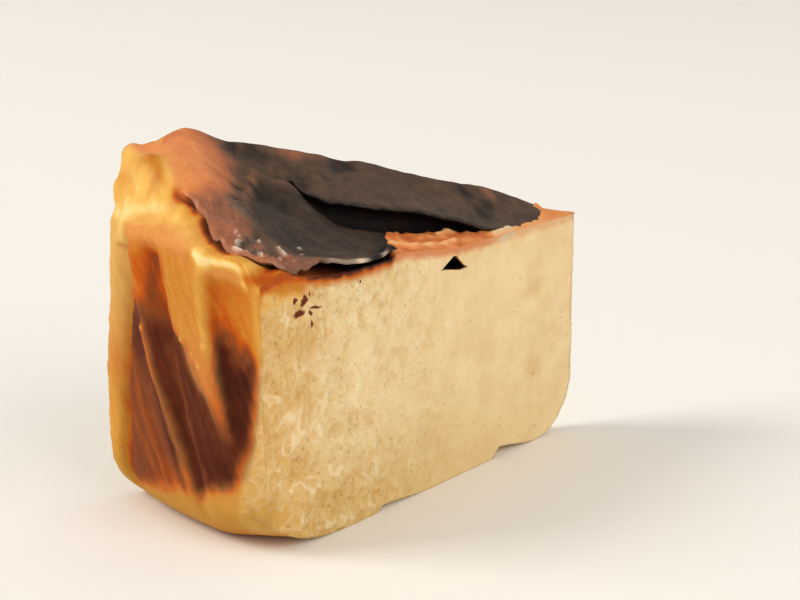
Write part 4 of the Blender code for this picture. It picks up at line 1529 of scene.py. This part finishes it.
def scatterCrumbs(bed, material):
    tree = makeCrumbTree(material)
    mesh = bed.data.copy()
    crumbly = mesh.attributes.new("crumbly", "FLOAT", "POINT")
    values = []
    foot, top = crumbs["heights"]
    for vert in mesh.vertices:
        place = vert.co / mm - cake["point"]
        onNear = place.y < math.tan(cake["halfAngle"]) * place.x + crumbs["nearReach"]
        share = blend(crumbs["least"], 1, smooth(*crumbs["towardsRim"], place.x))
        values.append(share * onNear * smooth(*foot, place.z) * smooth(*top, place.z))
    crumbly.data.foreach_set("value", values)
    piece = bpy.data.objects.new("cutCrumbs", mesh)
    bpy.context.scene.collection.objects.link(piece)
    scatter = piece.modifiers.new("scatter", "NODES")
    scatter.node_group = tree
    named = {item.name: item.identifier for item in tree.interface.items_tree if item.in_out == "INPUT"}
    scatter[named["Size"]] = crumbs["size"] * mm
    scatter[named["Density"]] = crumbs["density"] / mm ** 2
    scatter[named["Seed"]] = crumbs["seed"]
    depsgraph = bpy.context.evaluated_depsgraph_get()
    piece.data = bpy.data.meshes.new_from_object(piece.evaluated_get(depsgraph))
    piece.modifiers.clear()
    bpy.data.meshes.remove(mesh)
    print("crumbs have", len(piece.data.polygons), "faces")
    return piece


cheese = makeCheese()
burnt = makeSkinMaterial()
cakeBody = makeBody(cheese)
cutPocket(cakeBody)
pieces = [cakeBody, makeFrontSheet(burnt), makeSlabSheet(burnt), scatterCrumbs(cakeBody, cheese)]
for piece in pieces:
    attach(piece, "root")
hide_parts("cheesecake_slice")
print("slice dressed in", len(pieces), "pieces")

studio = {
    "floor": 6.0,
    "floorTone": paint(246, 243, 238),
    "sky": (1.0, 0.97, 0.93, 1.0),
    "skyStrength": 0.55,
    "lights": (                    # name, place in metres, aim, size, watts, colour
        ("windowLight", (-2.2, 1.4, 2.0), (0, 0, 0.04), 1.6, 62.0, (1.0, 0.96, 0.88)),
        ("fillLight", (0.2, -3.0, 1.8), (0, 0, 0.03), 2.4, 48.0, (1.0, 0.97, 0.92)),
    ),
    "cameraSpot": (-0.23680, -0.29177, 0.13297),
    "cameraAim": (0.61712, 0.74597, -0.25038),
    "lens": 90.0,
}


def makeStudio():
    scene = bpy.context.scene
    mesh = bpy.data.meshes.new("studioFloor")
    grid = bmesh.new()
    bmesh.ops.create_grid(grid, x_segments=1, y_segments=1, size=studio["floor"])
    grid.to_mesh(mesh)
    grid.free()
    floor = bpy.data.objects.new("studioFloor", mesh)
    scene.collection.objects.link(floor)
    material = bpy.data.materials.new("floorPaint")
    material.use_nodes = True
    fill(material.node_tree.nodes["Principled BSDF"], {"Base Color": studio["floorTone"], "Roughness": 0.8})
    mesh.materials.append(material)

    world = bpy.data.worlds.new("studioSky")
    world.use_nodes = True
    sky = world.node_tree.nodes["Background"]
    sky.inputs["Color"].default_value = studio["sky"]
    sky.inputs["Strength"].default_value = studio["skyStrength"]
    scene.world = world

    for name, spot, aim, size, watts, colour in studio["lights"]:
        lamp = bpy.data.lights.new(name, "AREA")
        lamp.size = size
        lamp.energy = watts
        lamp.color = colour
        holder = bpy.data.objects.new(name, lamp)
        holder.location = spot
        holder.rotation_euler = (Vector(aim) - Vector(spot)).to_track_quat("-Z", "Y").to_euler()
        scene.collection.objects.link(holder)

    camera = bpy.data.objects.new("camera", bpy.data.cameras.new("camera"))
    camera.data.lens = studio["lens"]
    camera.data.sensor_width = 36
    camera.data.clip_start = 0.01
    camera.location = studio["cameraSpot"]
    camera.rotation_euler = Vector(studio["cameraAim"]).to_track_quat("-Z", "Y").to_euler()
    scene.collection.objects.link(camera)
    scene.camera = camera
    scene.view_settings.view_transform = "Standard"


makeStudio()
print("studio ready")
